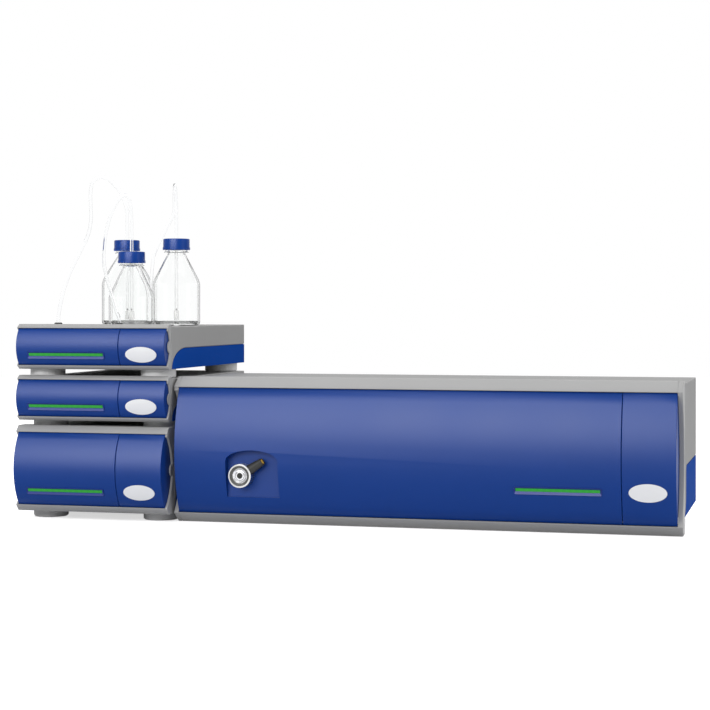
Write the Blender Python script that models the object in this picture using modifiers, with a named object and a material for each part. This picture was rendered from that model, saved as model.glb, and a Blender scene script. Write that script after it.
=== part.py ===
"""Bench-top thermal field-flow fractionation system.

Three narrow units stand in a stack: a pump at the bottom, a degasser, and a solvent organizer with
three bottles on its deck. The wide separation unit stands beside them and holds the channel, a hot
and a cold block behind a lift-up door, with the injection valve in a pocket of that door.

Metres, +Z up, +X to the right and +Y to the back. The origin is on the bench, under the middle of
the system. Every curved front is the same idea at four sizes: a panel bulges out of a bezel whose
side walls are hollowed back by an arc.
"""

import math

import bmesh
import bpy
from mathutils import Matrix, Vector

# The stack of narrow units
STACK_WIDTH = 0.260
STACK_DEPTH = 0.392
SLIM_HEIGHT = 0.073
PUMP_HEIGHT = 0.1386
BENCH_GAP = 0.0136
PUMP_TO_DEGASSER = 0.0082
DEGASSER_TO_ORGANIZER = 0.010
PUMP_LIP_FORWARD = 0.0036
SLIM_CHAMFER_HEIGHT = 0.005
SLIM_CHAMFER_DEPTH = 0.0075
PUMP_CHAMFER_HEIGHT = 0.009
PUMP_CHAMFER_DEPTH = 0.0085
STACK_BASE_RAISE = 0.001
SLIM_WALL = 0.002
PUMP_WALL = 0.0033

# The wide separation unit
UNIT_GAP = 0.004
WIDE_WIDTH = 0.802
WIDE_HEIGHT = 0.2321
WIDE_DEPTH = 0.289
WIDE_LIP_BACK = 0.0179
WIDE_CHAMFER_HEIGHT = 0.0146
WIDE_CHAMFER_DEPTH = 0.020
WIDE_BEZEL_CLEARANCE = 0.0003
WIDE_BASE_RAISE = 0.026
WIDE_WALL = 0.0073
GROOVE_WIDTH = 0.0012
GROOVE_DEPTH = 0.0008

# Curved fronts: how far the panels bulge out, and how far the bezel walls are hollowed back
SLIM_BULGE = 0.0115
SLIM_HOLLOW = 0.0115
SLIM_BEZEL_DEPTH = 0.018
PUMP_BULGE = 0.020
PUMP_HOLLOW = 0.027
PUMP_BEZEL_DEPTH = 0.034
WIDE_BULGE = 0.023
WIDE_HOLLOW = 0.034
WIDE_BEZEL_DEPTH = 0.042
ARC_STEPS = 10
OVAL_SIDES = 36

# Panels in the bezels
LIP_EDGE = 0.0014
PANEL_SETBACK = 0.0015
WIDE_PANEL_SETBACK = 0.0020
PANEL_LIP_GAP = 0.0006
WIDE_PANEL_LIP_GAP = 0.0008
PANEL_SIDE_GAP = 0.0005
PANEL_SKIN = 0.0028
PANEL_EDGE = 0.0025
PANEL_FLANGE = 0.003
CHEEK = 0.003
SEAM = 0.0008
STACK_SEAM_FROM_RIGHT = 0.0805
WIDE_SEAM_FROM_RIGHT = 0.0885

# Pivots of the lift-up panels, set in from the panel's top front edge
PIVOT_BACK = 0.0012
PIVOT_DOWN = 0.0028
PIVOT_RADIUS = 0.0010
PIVOT_CLEARANCE = 0.0003
LUG_MARGIN = 0.001
WIDE_PIVOT_BACK = 0.0015
WIDE_PIVOT_DOWN = 0.0035
WIDE_PIVOT_RADIUS = 0.0015
SCOOP_RADIUS = 0.010
SCOOP_DISH = 0.0008
SCOOP_DISH_SHARE = 0.8

# Covers and chassis
HOOD_DROP = 0.0039
HOOD_WALL = 0.002
HOOD_EDGE_RADIUS = 0.002
SPLIT_GAP = 0.0006
SEAT_GAP = 0.0003
SPLIT_STRIP = 0.0015
SLIM_SPLIT_RUN = 0.066
SLIM_SPLIT_HEIGHT = 0.0335
PUMP_SPLIT_RUN = 0.115
PUMP_SPLIT_HEIGHT = 0.068
WIDE_SPLIT_HEIGHT = 0.0755
WIDE_SPLIT_FROM_LIP = 0.070
WIDE_SPLIT_FILLET = 0.038
WIDE_SPLIT_CORNER = 0.010
REAR_RECESS = 0.0015
CORE_INSET = 0.0005

# Feet
FOOT_RADIUS = 0.0285
FOOT_CHAMFER = 0.002
FOOT_SIDE_INSET = 0.0335
FOOT_BEHIND_BEZEL = 0.0008
FOOT_BACK_INSET = 0.0305
PUMP_FOOT_INSET = 0.0602
WIDE_FOOT_SIDE_INSET = 0.060
WIDE_FOOT_FRONT_INSET = 0.075

# Status lights and oval badge plates
LIGHT_LENGTH = 0.1275
LIGHT_HEIGHT = 0.0045
LIGHT_DEPTH = 0.005
LIGHT_PROUD = 0.0004
SLIM_LIGHT_FROM_LEFT = 0.025
PUMP_LIGHT_FROM_LEFT = 0.0273
SLIM_LIGHT_RISE = 0.024
PUMP_LIGHT_RISE = 0.0357
WIDE_LIGHT_FROM_RIGHT = 0.1209
WIDE_LIGHT_RISE = 0.0675
BADGE_WIDTH = 0.0526
BADGE_HEIGHT = 0.0252
WIDE_BADGE_WIDTH = 0.057
WIDE_BADGE_HEIGHT = 0.028
BADGE_THICKNESS = 0.0012
STACK_BADGE_FROM_RIGHT = 0.042
WIDE_BADGE_FROM_RIGHT = 0.0498
SLIM_BADGE_RISE = 0.0246
PUMP_BADGE_RISE = 0.0356
WIDE_BADGE_RISE = 0.0669

# Service bays behind the small lift-up panels
BAY_DEPTH = 0.030
BAY_MARGIN = 0.006
PORT_RADIUS = 0.0045
PORT_LENGTH = 0.014
PORT_FLANGE_RADIUS = 0.0060
PORT_PITCH = 0.016
PORT_BLOCK = 0.005
PORT_BLOCK_EDGE = 0.008
HEAD_RADIUS = 0.017
HEAD_LENGTH = 0.028
HEAD_CAP_RADIUS = 0.0135
PURGE_RADIUS = 0.009
PURGE_LENGTH = 0.018
PURGE_STEM_RADIUS = 0.004

# Pocket and injection valve in the wide door
POCKET_FROM_LEFT = 0.0927
POCKET_WIDTH = 0.0861
POCKET_RISE = 0.0441
POCKET_SIDE_HEIGHT = 0.0574
POCKET_ARCH = 0.0174
POCKET_FLOOR_FORWARD = 0.006
POCKET_WALL = 0.0025
VALVE_FROM_LEFT = 0.118
VALVE_RISE = 0.0787
HUB_RADIUS = 0.0187
HUB_LENGTH = 0.0195
HUB_RIM = 0.0025
CUP_DEPTH = 0.004
INSERT_WIDTH = 0.0034
FUNNEL_RADIUS = 0.0047
FUNNEL_END_RADIUS = 0.0009
DISH_HOLLOW_SHARE = 0.72
DISH_EDGE_SHARE = 0.92
VALVE_STEPS = 32
STATOR_RADIUS = 0.017
STATOR_LENGTH = 0.030
STEM_RADIUS = 0.0085
LEVER_REST_ANGLE = 33.0
LEVER_REACH = 0.0415
LEVER_ROOT_RADIUS = 0.0085
LEVER_END_RADIUS = 0.0060
LEVER_TIP_RADIUS = 0.0050
LEVER_TIP_LENGTH = 0.002

# Channel behind the wide door
CABINET_WALL = 0.010
CABINET_FLOOR = 0.006
CABINET_DEPTH = 0.150
CHANNEL_LENGTH = 0.6005
CHANNEL_END_SPACE = 0.0465
CHANNEL_DEPTH = 0.090
BLOCK_HEIGHT = 0.040
SPACER_THICKNESS = 0.001
SPACER_INSET = 0.002
RAIL_HEIGHT = 0.020
RAIL_WIDTH = 0.040
CHANNEL_BACK_GAP = 0.012
BOLT_COUNT = 8
BOLT_HEAD_RADIUS = 0.0065
BOLT_HEAD_HEIGHT = 0.007
BOLT_EDGE = 0.020
CLAMP_BAR_WIDTH = 0.018
CLAMP_BAR_HEIGHT = 0.006
HEATER_COUNT = 3
HEATER_RADIUS = 0.005
HEATER_LENGTH = 0.022
HEATER_PLATE = 0.003

# Backs of the units
INLET_WIDTH = 0.028
INLET_HEIGHT = 0.020
INLET_DEPTH = 0.014
INLET_PIN = 0.002
INLET_PIN_LENGTH = 0.009
INLET_PIN_SPREAD = 0.007
INLET_PIN_STAGGER = 0.002
INLET_FROM_LEFT = 0.050
INLET_RISE = 0.030
ROCKER_WIDTH = 0.012
ROCKER_HALF = 0.0090
ROCKER_DEPTH = 0.006
ROCKER_TILT = 7.0
ROCKER_CLEARANCE = 0.0012
ROCKER_OFFSET = 0.030
VENT_COUNT = 7
VENT_WIDTH = 0.003
VENT_HEIGHT = 0.034
VENT_DEPTH = 0.003
VENT_PITCH = 0.009
COOLANT_PORT_RADIUS = 0.008
COOLANT_PORT_LENGTH = 0.024
COOLANT_PORT_PITCH = 0.040
COOLANT_PLATE = 0.003

# Small roundings, and how deep joined shapes reach into each other
BEZEL_ROUNDING = 0.0009
PANEL_ROUNDING = 0.0006
BLOCK_ROUNDING = 0.001
LEVER_ROUNDING = 0.0008
JOIN_OVERLAP = 0.001

# Bottles, caps and tubing on the organizer deck
BOTTLE_WALL = 0.0025
BOTTLE_CORNER = 0.005
BOTTLE_PUNT = 0.003
NECK_RADIUS = 0.015
NECK_RING_RADIUS = 0.0213
NECK_RING_TOP = 0.0026
NECK_RING_HEIGHT = 0.0028
FINISH_RADIUS = 0.0186
SHOULDER_TOP = 0.0064
SHOULDER_MIDDLE = 0.040
SHOULDER_MIDDLE_INSET = 0.0076
SHOULDER_LOW = 0.050
SHOULDER_LOW_INSET = 0.0024
BODY_TOP = 0.0575
CAP_RADIUS = 0.0225
CAP_HEIGHT = 0.019
CAP_WALL = 0.003
CAP_TOP = 0.0022
CAP_BAND_RADIUS = 0.0233
CAP_BAND_HEIGHT = 0.0045
CAP_CLEARANCE = 0.0006
LEFT_BOTTLE_HEIGHT = 0.149
FRONT_BOTTLE_HEIGHT = 0.124
RIGHT_BOTTLE_HEIGHT = 0.1472
LEFT_BOTTLE_RADIUS = 0.0442
FRONT_BOTTLE_RADIUS = 0.0385
RIGHT_BOTTLE_RADIUS = 0.0403
TUBE_RADIUS = 0.00275
TUBE_CLEARANCE = 0.0006
TUBE_SPACING = 0.022
GROMMET_RADIUS = 0.007
GROMMET_HEIGHT = 0.005
GROMMET_SOCKET = 0.003
TUBE_LIFT = 0.010

# Bottle places with height and radius, and tube routes, from the stack's front right corner and up
# from the organizer deck
BOTTLE_PLACES = {
    "left": (-0.1826, 0.285, LEFT_BOTTLE_HEIGHT, LEFT_BOTTLE_RADIUS),
    "front": (-0.1176, 0.143, FRONT_BOTTLE_HEIGHT, FRONT_BOTTLE_RADIUS),
    "right": (-0.0576, 0.197, RIGHT_BOTTLE_HEIGHT, RIGHT_BOTTLE_RADIUS),
}
TUBE_ROUTES = {
    "left": [
        (-0.1832, 0.284, 0.206), (-0.1890, 0.278, 0.228), (-0.2020, 0.268, 0.249),
        (-0.2115, 0.258, 0.2575), (-0.2190, 0.248, 0.2585), (-0.2260, 0.236, 0.250),
        (-0.2263, 0.226, 0.235), (-0.2213, 0.214, 0.208), (-0.2160, 0.202, 0.182),
        (-0.2155, 0.188, 0.155), (-0.2206, 0.174, 0.132), (-0.2274, 0.160, 0.108),
        (-0.2342, 0.146, 0.081), (-0.2395, 0.134, 0.050), (-0.2412, 0.126, 0.025),
    ],
    "front": [
        (-0.1179, 0.142, 0.186), (-0.1196, 0.140, 0.206), (-0.1245, 0.137, 0.2185),
        (-0.1323, 0.132, 0.215), (-0.1434, 0.124, 0.194), (-0.1501, 0.114, 0.163),
        (-0.1504, 0.104, 0.135), (-0.1472, 0.094, 0.106), (-0.1408, 0.087, 0.085),
        (-0.1330, 0.081, 0.065), (-0.1239, 0.076, 0.043), (-0.1161, 0.072, 0.024),
    ],
    "right": [
        (-0.0582, 0.198, 0.201), (-0.0604, 0.202, 0.220), (-0.0646, 0.210, 0.2355),
        (-0.0694, 0.220, 0.2405), (-0.0734, 0.230, 0.2315), (-0.0766, 0.238, 0.2155),
        (-0.0800, 0.245, 0.194), (-0.0889, 0.250, 0.179), (-0.1018, 0.255, 0.160),
        (-0.1144, 0.259, 0.139), (-0.1230, 0.262, 0.122), (-0.1273, 0.265, 0.100),
        (-0.1294, 0.268, 0.070), (-0.1300, 0.270, 0.035),
    ],
}
GROMMET_PLACES = {
    "left": (-0.2412, 0.122),
    "front": (-0.1112, 0.070),
    "right": (-0.1300, 0.270),
}

BLUE = (0.045, 0.115, 0.42)
SIDE_BLUE = (0.03, 0.11, 0.45)
GREY = (0.52, 0.52, 0.51)


# Places that follow from the sizes
TOTAL_WIDTH = STACK_WIDTH + UNIT_GAP + WIDE_WIDTH
STACK_LEFT = -TOTAL_WIDTH / 2
STACK_RIGHT = STACK_LEFT + STACK_WIDTH
WIDE_LEFT = STACK_RIGHT + UNIT_GAP
FRONT_REACH = PUMP_LIP_FORWARD - PANEL_SETBACK + PUMP_BULGE
SLIM_LIP = (FRONT_REACH - STACK_DEPTH) / 2
STACK_BACK = SLIM_LIP + STACK_DEPTH


class Unit:
    """One bench unit: its place, its outline and the values worked out from them."""

    def __init__(self, name, left, width, bottom, height, lip, back):
        self.name = name
        self.left = left
        self.right = left + width
        self.bottom = bottom
        self.top = bottom + height
        self.lip = lip
        self.back = back
        self.deck = self.top - HOOD_DROP

    def set_front(self, wall, chamfer, bezel_depth, bulge, hollow):
        """Bezel and panel curves; chamfer is its height and depth."""
        self.wall = wall
        self.bulge = bulge
        self.chamfer_height, self.chamfer_depth = chamfer
        self.bezel_back = self.lip + bezel_depth
        self.hollow = hollow
        self.open_top = self.top - self.chamfer_height - LIP_EDGE
        self.open_bottom = self.bottom + self.chamfer_height + LIP_EDGE

    def set_panel(self, setback, lip_gap):
        """Place and face curve of the panels between the bezel's lips."""
        self.panel_y = self.lip + setback
        self.panel_top = self.open_top - lip_gap
        self.panel_bottom = self.open_bottom + lip_gap
        half = (self.panel_top - self.panel_bottom) / 2
        self.face_radius = (half * half + self.bulge * self.bulge) / (2 * self.bulge)
        self.face_centre_y = self.panel_y - self.bulge + self.face_radius
        self.face_centre_z = (self.panel_top + self.panel_bottom) / 2

    def set_body(self, base_raise, split_height, split_run=None):
        """Heights of the hood and the base behind the bezel; a run makes their split rise."""
        self.hood_front = self.bezel_back + SEAT_GAP
        self.base_bottom = self.bottom + base_raise
        self.split_top = self.base_bottom + split_height
        self.split_run = split_run
        self.core_top = self.deck - HOOD_WALL - SEAT_GAP
        self.core_front = self.hood_front + CORE_INSET

    def set_pivot(self, back, down, radius):
        """Pivot of the lift-up panel, on an axis along X."""
        self.pivot_y = self.panel_y + back
        self.pivot_z = self.panel_top - down
        self.pivot_radius = radius

    def face_y(self, z, proud=0.0):
        """Y of the panel's face at height z, or of a surface that far in front of it."""
        radius = self.face_radius + proud
        return self.face_centre_y - math.sqrt(radius ** 2 - (z - self.face_centre_z) ** 2)

    def split_line(self, shift):
        """The line between hood and base, moved back and down by a shift."""
        if self.split_run:
            return self.rising_split(shift)
        return self.stepped_split(shift)

    def rising_split(self, shift):
        """The stacked units' line: a quarter ellipse up from the bezel."""
        start = self.hood_front + SPLIT_STRIP
        height = self.split_top - self.base_bottom
        points = []
        for step in range(ARC_STEPS + 1):
            turn = math.pi / 2 * step / ARC_STEPS
            y = start + self.split_run * (1 - math.cos(turn)) + shift
            z = self.base_bottom + height * math.sin(turn) - shift
            points.append((y, max(z, self.base_bottom)))
        return points + [(self.back, self.split_top - shift)]

    def stepped_split(self, shift):
        """The wide unit's line: a fillet off the bottom edge, upright, then a rounded corner."""
        upright_y = self.lip + WIDE_SPLIT_FROM_LIP
        start = math.asin((self.hood_front - upright_y) / WIDE_SPLIT_FILLET + 1)
        points = []
        for step in range(ARC_STEPS + 1):
            turn = start + (math.pi / 2 - start) * step / ARC_STEPS
            y = upright_y - WIDE_SPLIT_FILLET * (1 - math.sin(turn))
            points.append((y, self.base_bottom + WIDE_SPLIT_FILLET * (1 - math.cos(turn))))
        for step in range(ARC_STEPS + 1):
            turn = math.pi / 2 * step / ARC_STEPS
            y = upright_y + WIDE_SPLIT_CORNER * (1 - math.cos(turn))
            points.append((y, self.split_top - WIDE_SPLIT_CORNER * (1 - math.sin(turn))))
        points = [(y + shift, z - shift) for y, z in points]
        return points + [(self.back, self.split_top - shift)]


def arc(y, z_from, z_to, bulge, steps=ARC_STEPS):
    """Points of an arc over the upright chord at y; a positive bulge stands towards -Y."""
    half = abs(z_to - z_from) / 2
    middle = (z_from + z_to) / 2
    depth = abs(bulge)
    radius = (half * half + depth * depth) / (2 * depth)
    sweep = math.asin(half / radius)
    way = 1 if z_to > z_from else -1
    side = 1 if bulge > 0 else -1
    points = []
    for step in range(steps + 1):
        turn = sweep * (2 * step / steps - 1)
        reach = radius * math.cos(turn) - (radius - depth)
        points.append((y - side * reach, middle + way * radius * math.sin(turn)))
    return points


def clear_scene():
    for item in list(bpy.data.objects):
        bpy.data.objects.remove(item, do_unlink=True)


def new_collection(name):
    collection = bpy.data.collections.new(name)
    bpy.context.scene.collection.children.link(collection)
    return collection


def surface(name, colour, roughness, metallic=0.0, transmission=0.0):
    """A Principled material in a colour, with its roughness and metal or glass share."""
    material = bpy.data.materials.get(name)
    if material:
        return material
    material = bpy.data.materials.new(name)
    material.use_nodes = True
    shader = material.node_tree.nodes["Principled BSDF"]
    shader.inputs["Base Color"].default_value = (*colour, 1.0)
    shader.inputs["Roughness"].default_value = roughness
    shader.inputs["Metallic"].default_value = metallic
    shader.inputs["Transmission Weight"].default_value = transmission
    return material


def add_piece(name, mesh, material=None):
    """A piece of the model, or a cutter where it has no material."""
    piece = bpy.data.objects.new(name, mesh)
    if material is None:
        CUTTERS.objects.link(piece)
        piece.hide_render = True
        piece.display_type = "WIRE"
    else:
        PARTS.objects.link(piece)
        mesh.materials.append(material)
        mesh.shade_smooth()
        mesh.set_sharp_from_angle(angle=math.radians(35))
    return piece


def weld(mesh):
    """Joins the doubled corners of a mesh and drops the edges inside its flat faces."""
    shape = bmesh.new()
    shape.from_mesh(mesh)
    bmesh.ops.remove_doubles(shape, verts=shape.verts, dist=1e-6)
    bmesh.ops.dissolve_limit(shape, angle_limit=0.005, verts=shape.verts, edges=shape.edges)
    bmesh.ops.recalc_face_normals(shape, faces=shape.faces)
    shape.to_mesh(mesh)
    shape.free()
    return mesh


def outline_mesh(name, outline, thickness, place):
    """Solid of a flat outline, half its thickness either side of the outline's plane."""
    curve = bpy.data.curves.new(name, "CURVE")
    curve.dimensions = "2D"
    curve.fill_mode = "BOTH"
    curve.extrude = thickness / 2
    spline = curve.splines.new("POLY")
    spline.points.add(len(outline) - 1)
    for point, (u, v) in zip(spline.points, outline):
        point.co = (u, v, 0.0, 1.0)
    spline.use_cyclic_u = True
    guide = bpy.data.objects.new(name + "_outline", curve)
    bpy.context.scene.collection.objects.link(guide)
    graph = bpy.context.evaluated_depsgraph_get()
    mesh = bpy.data.meshes.new_from_object(guide.evaluated_get(graph))
    bpy.data.objects.remove(guide, do_unlink=True)
    mesh.transform(place)
    mesh.name = name
    return weld(mesh)


def side_mesh(name, outline, x_from, x_to):
    """Solid of an outline seen from the side, in Y and Z, between two places in X."""
    axes = Matrix(((0, 0, 1, 0), (1, 0, 0, 0), (0, 1, 0, 0), (0, 0, 0, 1)))
    place = Matrix.Translation(((x_from + x_to) / 2, 0, 0)) @ axes
    return outline_mesh(name, outline, x_to - x_from, place)


def front_mesh(name, outline, y_from, y_to):
    """Solid of an outline seen from the front, in X and Z, between two places in Y."""
    axes = Matrix(((1, 0, 0, 0), (0, 0, -1, 0), (0, 1, 0, 0), (0, 0, 0, 1)))
    place = Matrix.Translation((0, (y_from + y_to) / 2, 0)) @ axes
    return outline_mesh(name, outline, y_to - y_from, place)


def box_mesh(name, low, high):
    """A box between two corners."""
    low = Vector(low)
    high = Vector(high)
    size = high - low
    shape = bmesh.new()
    place = Matrix.Translation((low + high) / 2) @ Matrix.Diagonal((*size, 1.0))
    bmesh.ops.create_cube(shape, size=1.0, matrix=place)
    mesh = bpy.data.meshes.new(name)
    shape.to_mesh(mesh)
    shape.free()
    return mesh


def rod_mesh(name, start, end, radius, end_radius=None, sides=24):
    """A round rod or cone between two points."""
    start = Vector(start)
    along = Vector(end) - start
    turn = along.to_track_quat("Z", "Y").to_matrix().to_4x4()
    place = Matrix.Translation(start + along / 2) @ turn
    shape = bmesh.new()
    bmesh.ops.create_cone(
        shape,
        cap_ends=True,
        segments=sides,
        radius1=radius,
        radius2=radius if end_radius is None else end_radius,
        depth=along.length,
        matrix=place,
    )
    mesh = bpy.data.meshes.new(name)
    shape.to_mesh(mesh)
    shape.free()
    return mesh


def turned_mesh(name, profile, place, steps=32):
    """A profile of radius and height, turned once round Z and then placed."""
    shape = bmesh.new()
    closed = profile[0] == profile[-1]
    stations = profile[:-1] if closed else profile
    corners = [shape.verts.new((radius, 0.0, height)) for radius, height in stations]
    if closed:
        corners.append(corners[0])
    for first, second in zip(corners, corners[1:]):
        shape.edges.new((first, second))
    line = bpy.data.meshes.new(name + "_profile")
    shape.to_mesh(line)
    shape.free()
    guide = bpy.data.objects.new(name + "_profile", line)
    bpy.context.scene.collection.objects.link(guide)
    screw = guide.modifiers.new("turn", "SCREW")
    screw.steps = steps
    screw.render_steps = steps
    screw.use_merge_vertices = True
    screw.merge_threshold = 1e-6
    graph = bpy.context.evaluated_depsgraph_get()
    mesh = bpy.data.meshes.new_from_object(guide.evaluated_get(graph))
    bpy.data.objects.remove(guide, do_unlink=True)
    mesh.transform(place)
    mesh.name = name
    return mesh


def upright(x, y, z):
    """Place of a turned piece that stands at a point."""
    return Matrix.Translation((x, y, z))


def facing(x, y, z):
    """Place of a turned piece whose height runs towards the front, along -Y."""
    return Matrix.Translation((x, y, z)) @ Matrix.Rotation(math.radians(90), 4, "X")


def gather(name, meshes):
    """Several separate solids as one mesh."""
    shape = bmesh.new()
    for mesh in meshes:
        shape.from_mesh(mesh)
        bpy.data.meshes.remove(mesh)
    joined = bpy.data.meshes.new(name)
    shape.to_mesh(joined)
    shape.free()
    return joined


def combine(piece, mesh, operation):
    """Cuts, joins or trims a piece with a solid, by a Boolean modifier."""
    cutter = add_piece(mesh.name, mesh)
    step = piece.modifiers.new(operation.lower(), "BOOLEAN")
    step.operation = operation
    step.solver = "EXACT"
    step.object = cutter


def cut(piece, mesh):
    combine(piece, mesh, "DIFFERENCE")


def join(piece, mesh):
    combine(piece, mesh, "UNION")


def trim(piece, mesh):
    combine(piece, mesh, "INTERSECT")


def soften(piece, width):
    """Breaks the sharp edges that a piece has so far."""
    bevel = piece.modifiers.new("soften", "BEVEL")
    bevel.width = width
    bevel.segments = 1
    bevel.limit_method = "ANGLE"
    bevel.angle_limit = math.radians(38)


def pivot(name, place):
    """An empty on a joint's axis, which the moving pieces hang from."""
    axis = bpy.data.objects.new(name, None)
    axis.empty_display_size = 0.02
    axis.location = place
    PARTS.objects.link(axis)
    bpy.context.view_layer.update()
    return axis


def hang(piece, axis):
    """Parents a piece to the empty of its joint and leaves it where it is."""
    piece.parent = axis
    piece.matrix_parent_inverse = axis.matrix_world.inverted()


def build_bezel(unit):
    """The frame round the front: chamfered bands above and below, hollowed walls at the sides."""
    hollow_edge = arc(unit.lip, unit.open_bottom, unit.open_top, -unit.hollow)
    outline = [
        (unit.lip, unit.top - unit.chamfer_height),
        (unit.lip + unit.chamfer_depth, unit.top),
        (unit.bezel_back, unit.top),
        (unit.bezel_back, unit.bottom),
        (unit.lip + unit.chamfer_depth, unit.bottom),
        (unit.lip, unit.bottom + unit.chamfer_height),
    ]
    name = unit.name + "_bezel"
    mesh = side_mesh(name, outline + hollow_edge, unit.left, unit.right)
    bezel = add_piece(name, mesh, surface("bezel_grey", GREY, 0.4))
    soften(bezel, BEZEL_ROUNDING)
    opening = box_mesh(
        name + "_opening",
        (unit.left + unit.wall, unit.lip - unit.wall, unit.open_bottom),
        (unit.right - unit.wall, unit.bezel_back + unit.wall, unit.open_top),
    )
    cut(bezel, opening)
    return bezel


def cut_grooves(bezel, unit):
    """Shallow grooves across the top and bottom bands, where the end plates meet them."""
    band = [
        (unit.lip - GROOVE_DEPTH, -unit.chamfer_height - GROOVE_DEPTH),
        (unit.lip - GROOVE_DEPTH, -unit.chamfer_height + GROOVE_DEPTH),
        (unit.lip + unit.chamfer_depth - GROOVE_DEPTH, GROOVE_DEPTH),
        (unit.bezel_back + GROOVE_DEPTH, GROOVE_DEPTH),
        (unit.bezel_back + GROOVE_DEPTH, -GROOVE_DEPTH),
        (unit.lip + unit.chamfer_depth, -GROOVE_DEPTH),
    ]
    over = [(y, unit.top + z) for y, z in band]
    under = [(y, unit.bottom - z) for y, z in band]
    name = bezel.name + "_groove"
    meshes = []
    for x in (unit.left + unit.wall, unit.right - unit.wall):
        for outline in (over, under):
            meshes.append(side_mesh(name, outline, x - GROOVE_WIDTH / 2, x + GROOVE_WIDTH / 2))
    cut(bezel, gather(name, meshes))


def add_scoop(bezel, unit):
    """A half-round ear on the right wall with a dished finger scoop in its outer face."""
    centre_z = (unit.open_top + unit.open_bottom) / 2
    centre_y = unit.lip + unit.hollow
    rim = []
    for step in range(ARC_STEPS + 1):
        turn = math.pi * step / ARC_STEPS
        y = centre_y - SCOOP_RADIUS * math.sin(turn)
        rim.append((y, centre_z + SCOOP_RADIUS * math.cos(turn)))
    root = centre_y + JOIN_OVERLAP
    outline = [(root, centre_z + SCOOP_RADIUS)] + rim + [(root, centre_z - SCOOP_RADIUS)]
    ear_left = unit.right - unit.wall + SEAT_GAP
    join(bezel, side_mesh(bezel.name + "_ear", outline, ear_left, unit.right - SEAT_GAP))
    dish_radius = SCOOP_RADIUS * SCOOP_DISH_SHARE
    ball_radius = (dish_radius ** 2 + SCOOP_DISH ** 2) / (2 * SCOOP_DISH)
    shape = bmesh.new()
    ball_x = unit.right - SCOOP_DISH + ball_radius
    place = Matrix.Translation((ball_x, centre_y - SCOOP_RADIUS + dish_radius, centre_z))
    place = place @ Matrix.Rotation(math.radians(90), 4, "Y")
    bmesh.ops.create_uvsphere(
        shape, u_segments=14, v_segments=32, radius=ball_radius, matrix=place
    )
    ball = bpy.data.meshes.new(bezel.name + "_dish")
    shape.to_mesh(ball)
    shape.free()
    cut(bezel, ball)


def panel_outline(unit):
    """The lens that a panel's end cheeks have: arc in front, arc behind, narrow at the lips."""
    rear = unit.panel_y + PANEL_EDGE
    front_arc = arc(unit.panel_y, unit.panel_top, unit.panel_bottom, unit.bulge)
    rear_arc = arc(rear, unit.panel_bottom, unit.panel_top, -unit.hollow)
    return front_arc + rear_arc


def inner_outline(unit):
    """The hollow behind a panel's skin, open to the back."""
    low = unit.panel_bottom + PANEL_FLANGE
    high = unit.panel_top - PANEL_FLANGE
    back = unit.panel_y + PANEL_EDGE + unit.hollow * 1.2
    points = []
    for step in range(ARC_STEPS + 1):
        z = high + (low - high) * step / ARC_STEPS
        points.append((unit.face_y(z, -PANEL_SKIN), z))
    return points + [(back, low), (back, high)]


def build_panel(name, unit, x_from, x_to):
    """A curved front shell with lens-shaped cheeks at both ends, open at the back."""
    mesh = side_mesh(name, panel_outline(unit), x_from, x_to)
    panel = add_piece(name, mesh, surface("panel_blue", BLUE, 0.3))
    soften(panel, PANEL_ROUNDING)
    hollow = side_mesh(name + "_inside", inner_outline(unit), x_from + CHEEK, x_to - CHEEK)
    return panel, hollow


def pivot_hole(panel, unit, face_x, inward):
    """Clearance hole for a pivot pin, through a cheek from its outer face."""
    hole = rod_mesh(
        panel.name + "_pivot_hole",
        (face_x - inward * SEAM, unit.pivot_y, unit.pivot_z),
        (face_x + inward * (CHEEK + JOIN_OVERLAP), unit.pivot_y, unit.pivot_z),
        unit.pivot_radius + PIVOT_CLEARANCE,
        sides=12,
    )
    cut(panel, hole)


def pivot_pin(carrier, unit, carrier_x, face_x, inward):
    """A pin moulded on its carrier, into the hole of the lift-up panel."""
    pin = rod_mesh(
        carrier.name + "_pin",
        (carrier_x, unit.pivot_y, unit.pivot_z),
        (face_x + inward * (CHEEK - SEAT_GAP), unit.pivot_y, unit.pivot_z),
        unit.pivot_radius,
        sides=10,
    )
    join(carrier, pin)


def pivot_lug(bezel, unit, wall_x):
    """A rounded lug that brings the hollowed bezel wall forward to the pivot pin."""
    reach = unit.wall / 2 - SEAT_GAP
    lug = rod_mesh(
        bezel.name + "_lug",
        (wall_x - reach, unit.pivot_y, unit.pivot_z),
        (wall_x + reach, unit.pivot_y, unit.pivot_z),
        unit.pivot_radius + LUG_MARGIN,
        sides=16,
    )
    join(bezel, lug)


def light_outline(unit, middle, grow, proud):
    """The status bar's outline from the side, or that of its slot."""
    low = middle - LIGHT_HEIGHT / 2 - grow
    high = middle + LIGHT_HEIGHT / 2 + grow
    back = unit.face_y(middle) + LIGHT_DEPTH + grow
    front = [(unit.face_y(z, proud), z) for z in (high, middle, low)]
    return front + [(back, low), (back, high)]


def build_light(unit, panel, x_from, rise):
    """The status light: a clear green bar in a slot of the panel."""
    name = unit.name + "_status_light"
    middle = unit.bottom + rise
    x_to = x_from + LIGHT_LENGTH
    slot = light_outline(unit, middle, SEAT_GAP, PANEL_SKIN)
    cut(panel, side_mesh(name + "_slot", slot, x_from - SEAT_GAP, x_to + SEAT_GAP))
    mesh = side_mesh(name, light_outline(unit, middle, 0.0, LIGHT_PROUD), x_from, x_to)
    return add_piece(name, mesh, surface("light_green", (0.03, 0.5, 0.03), 0.3))


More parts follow.
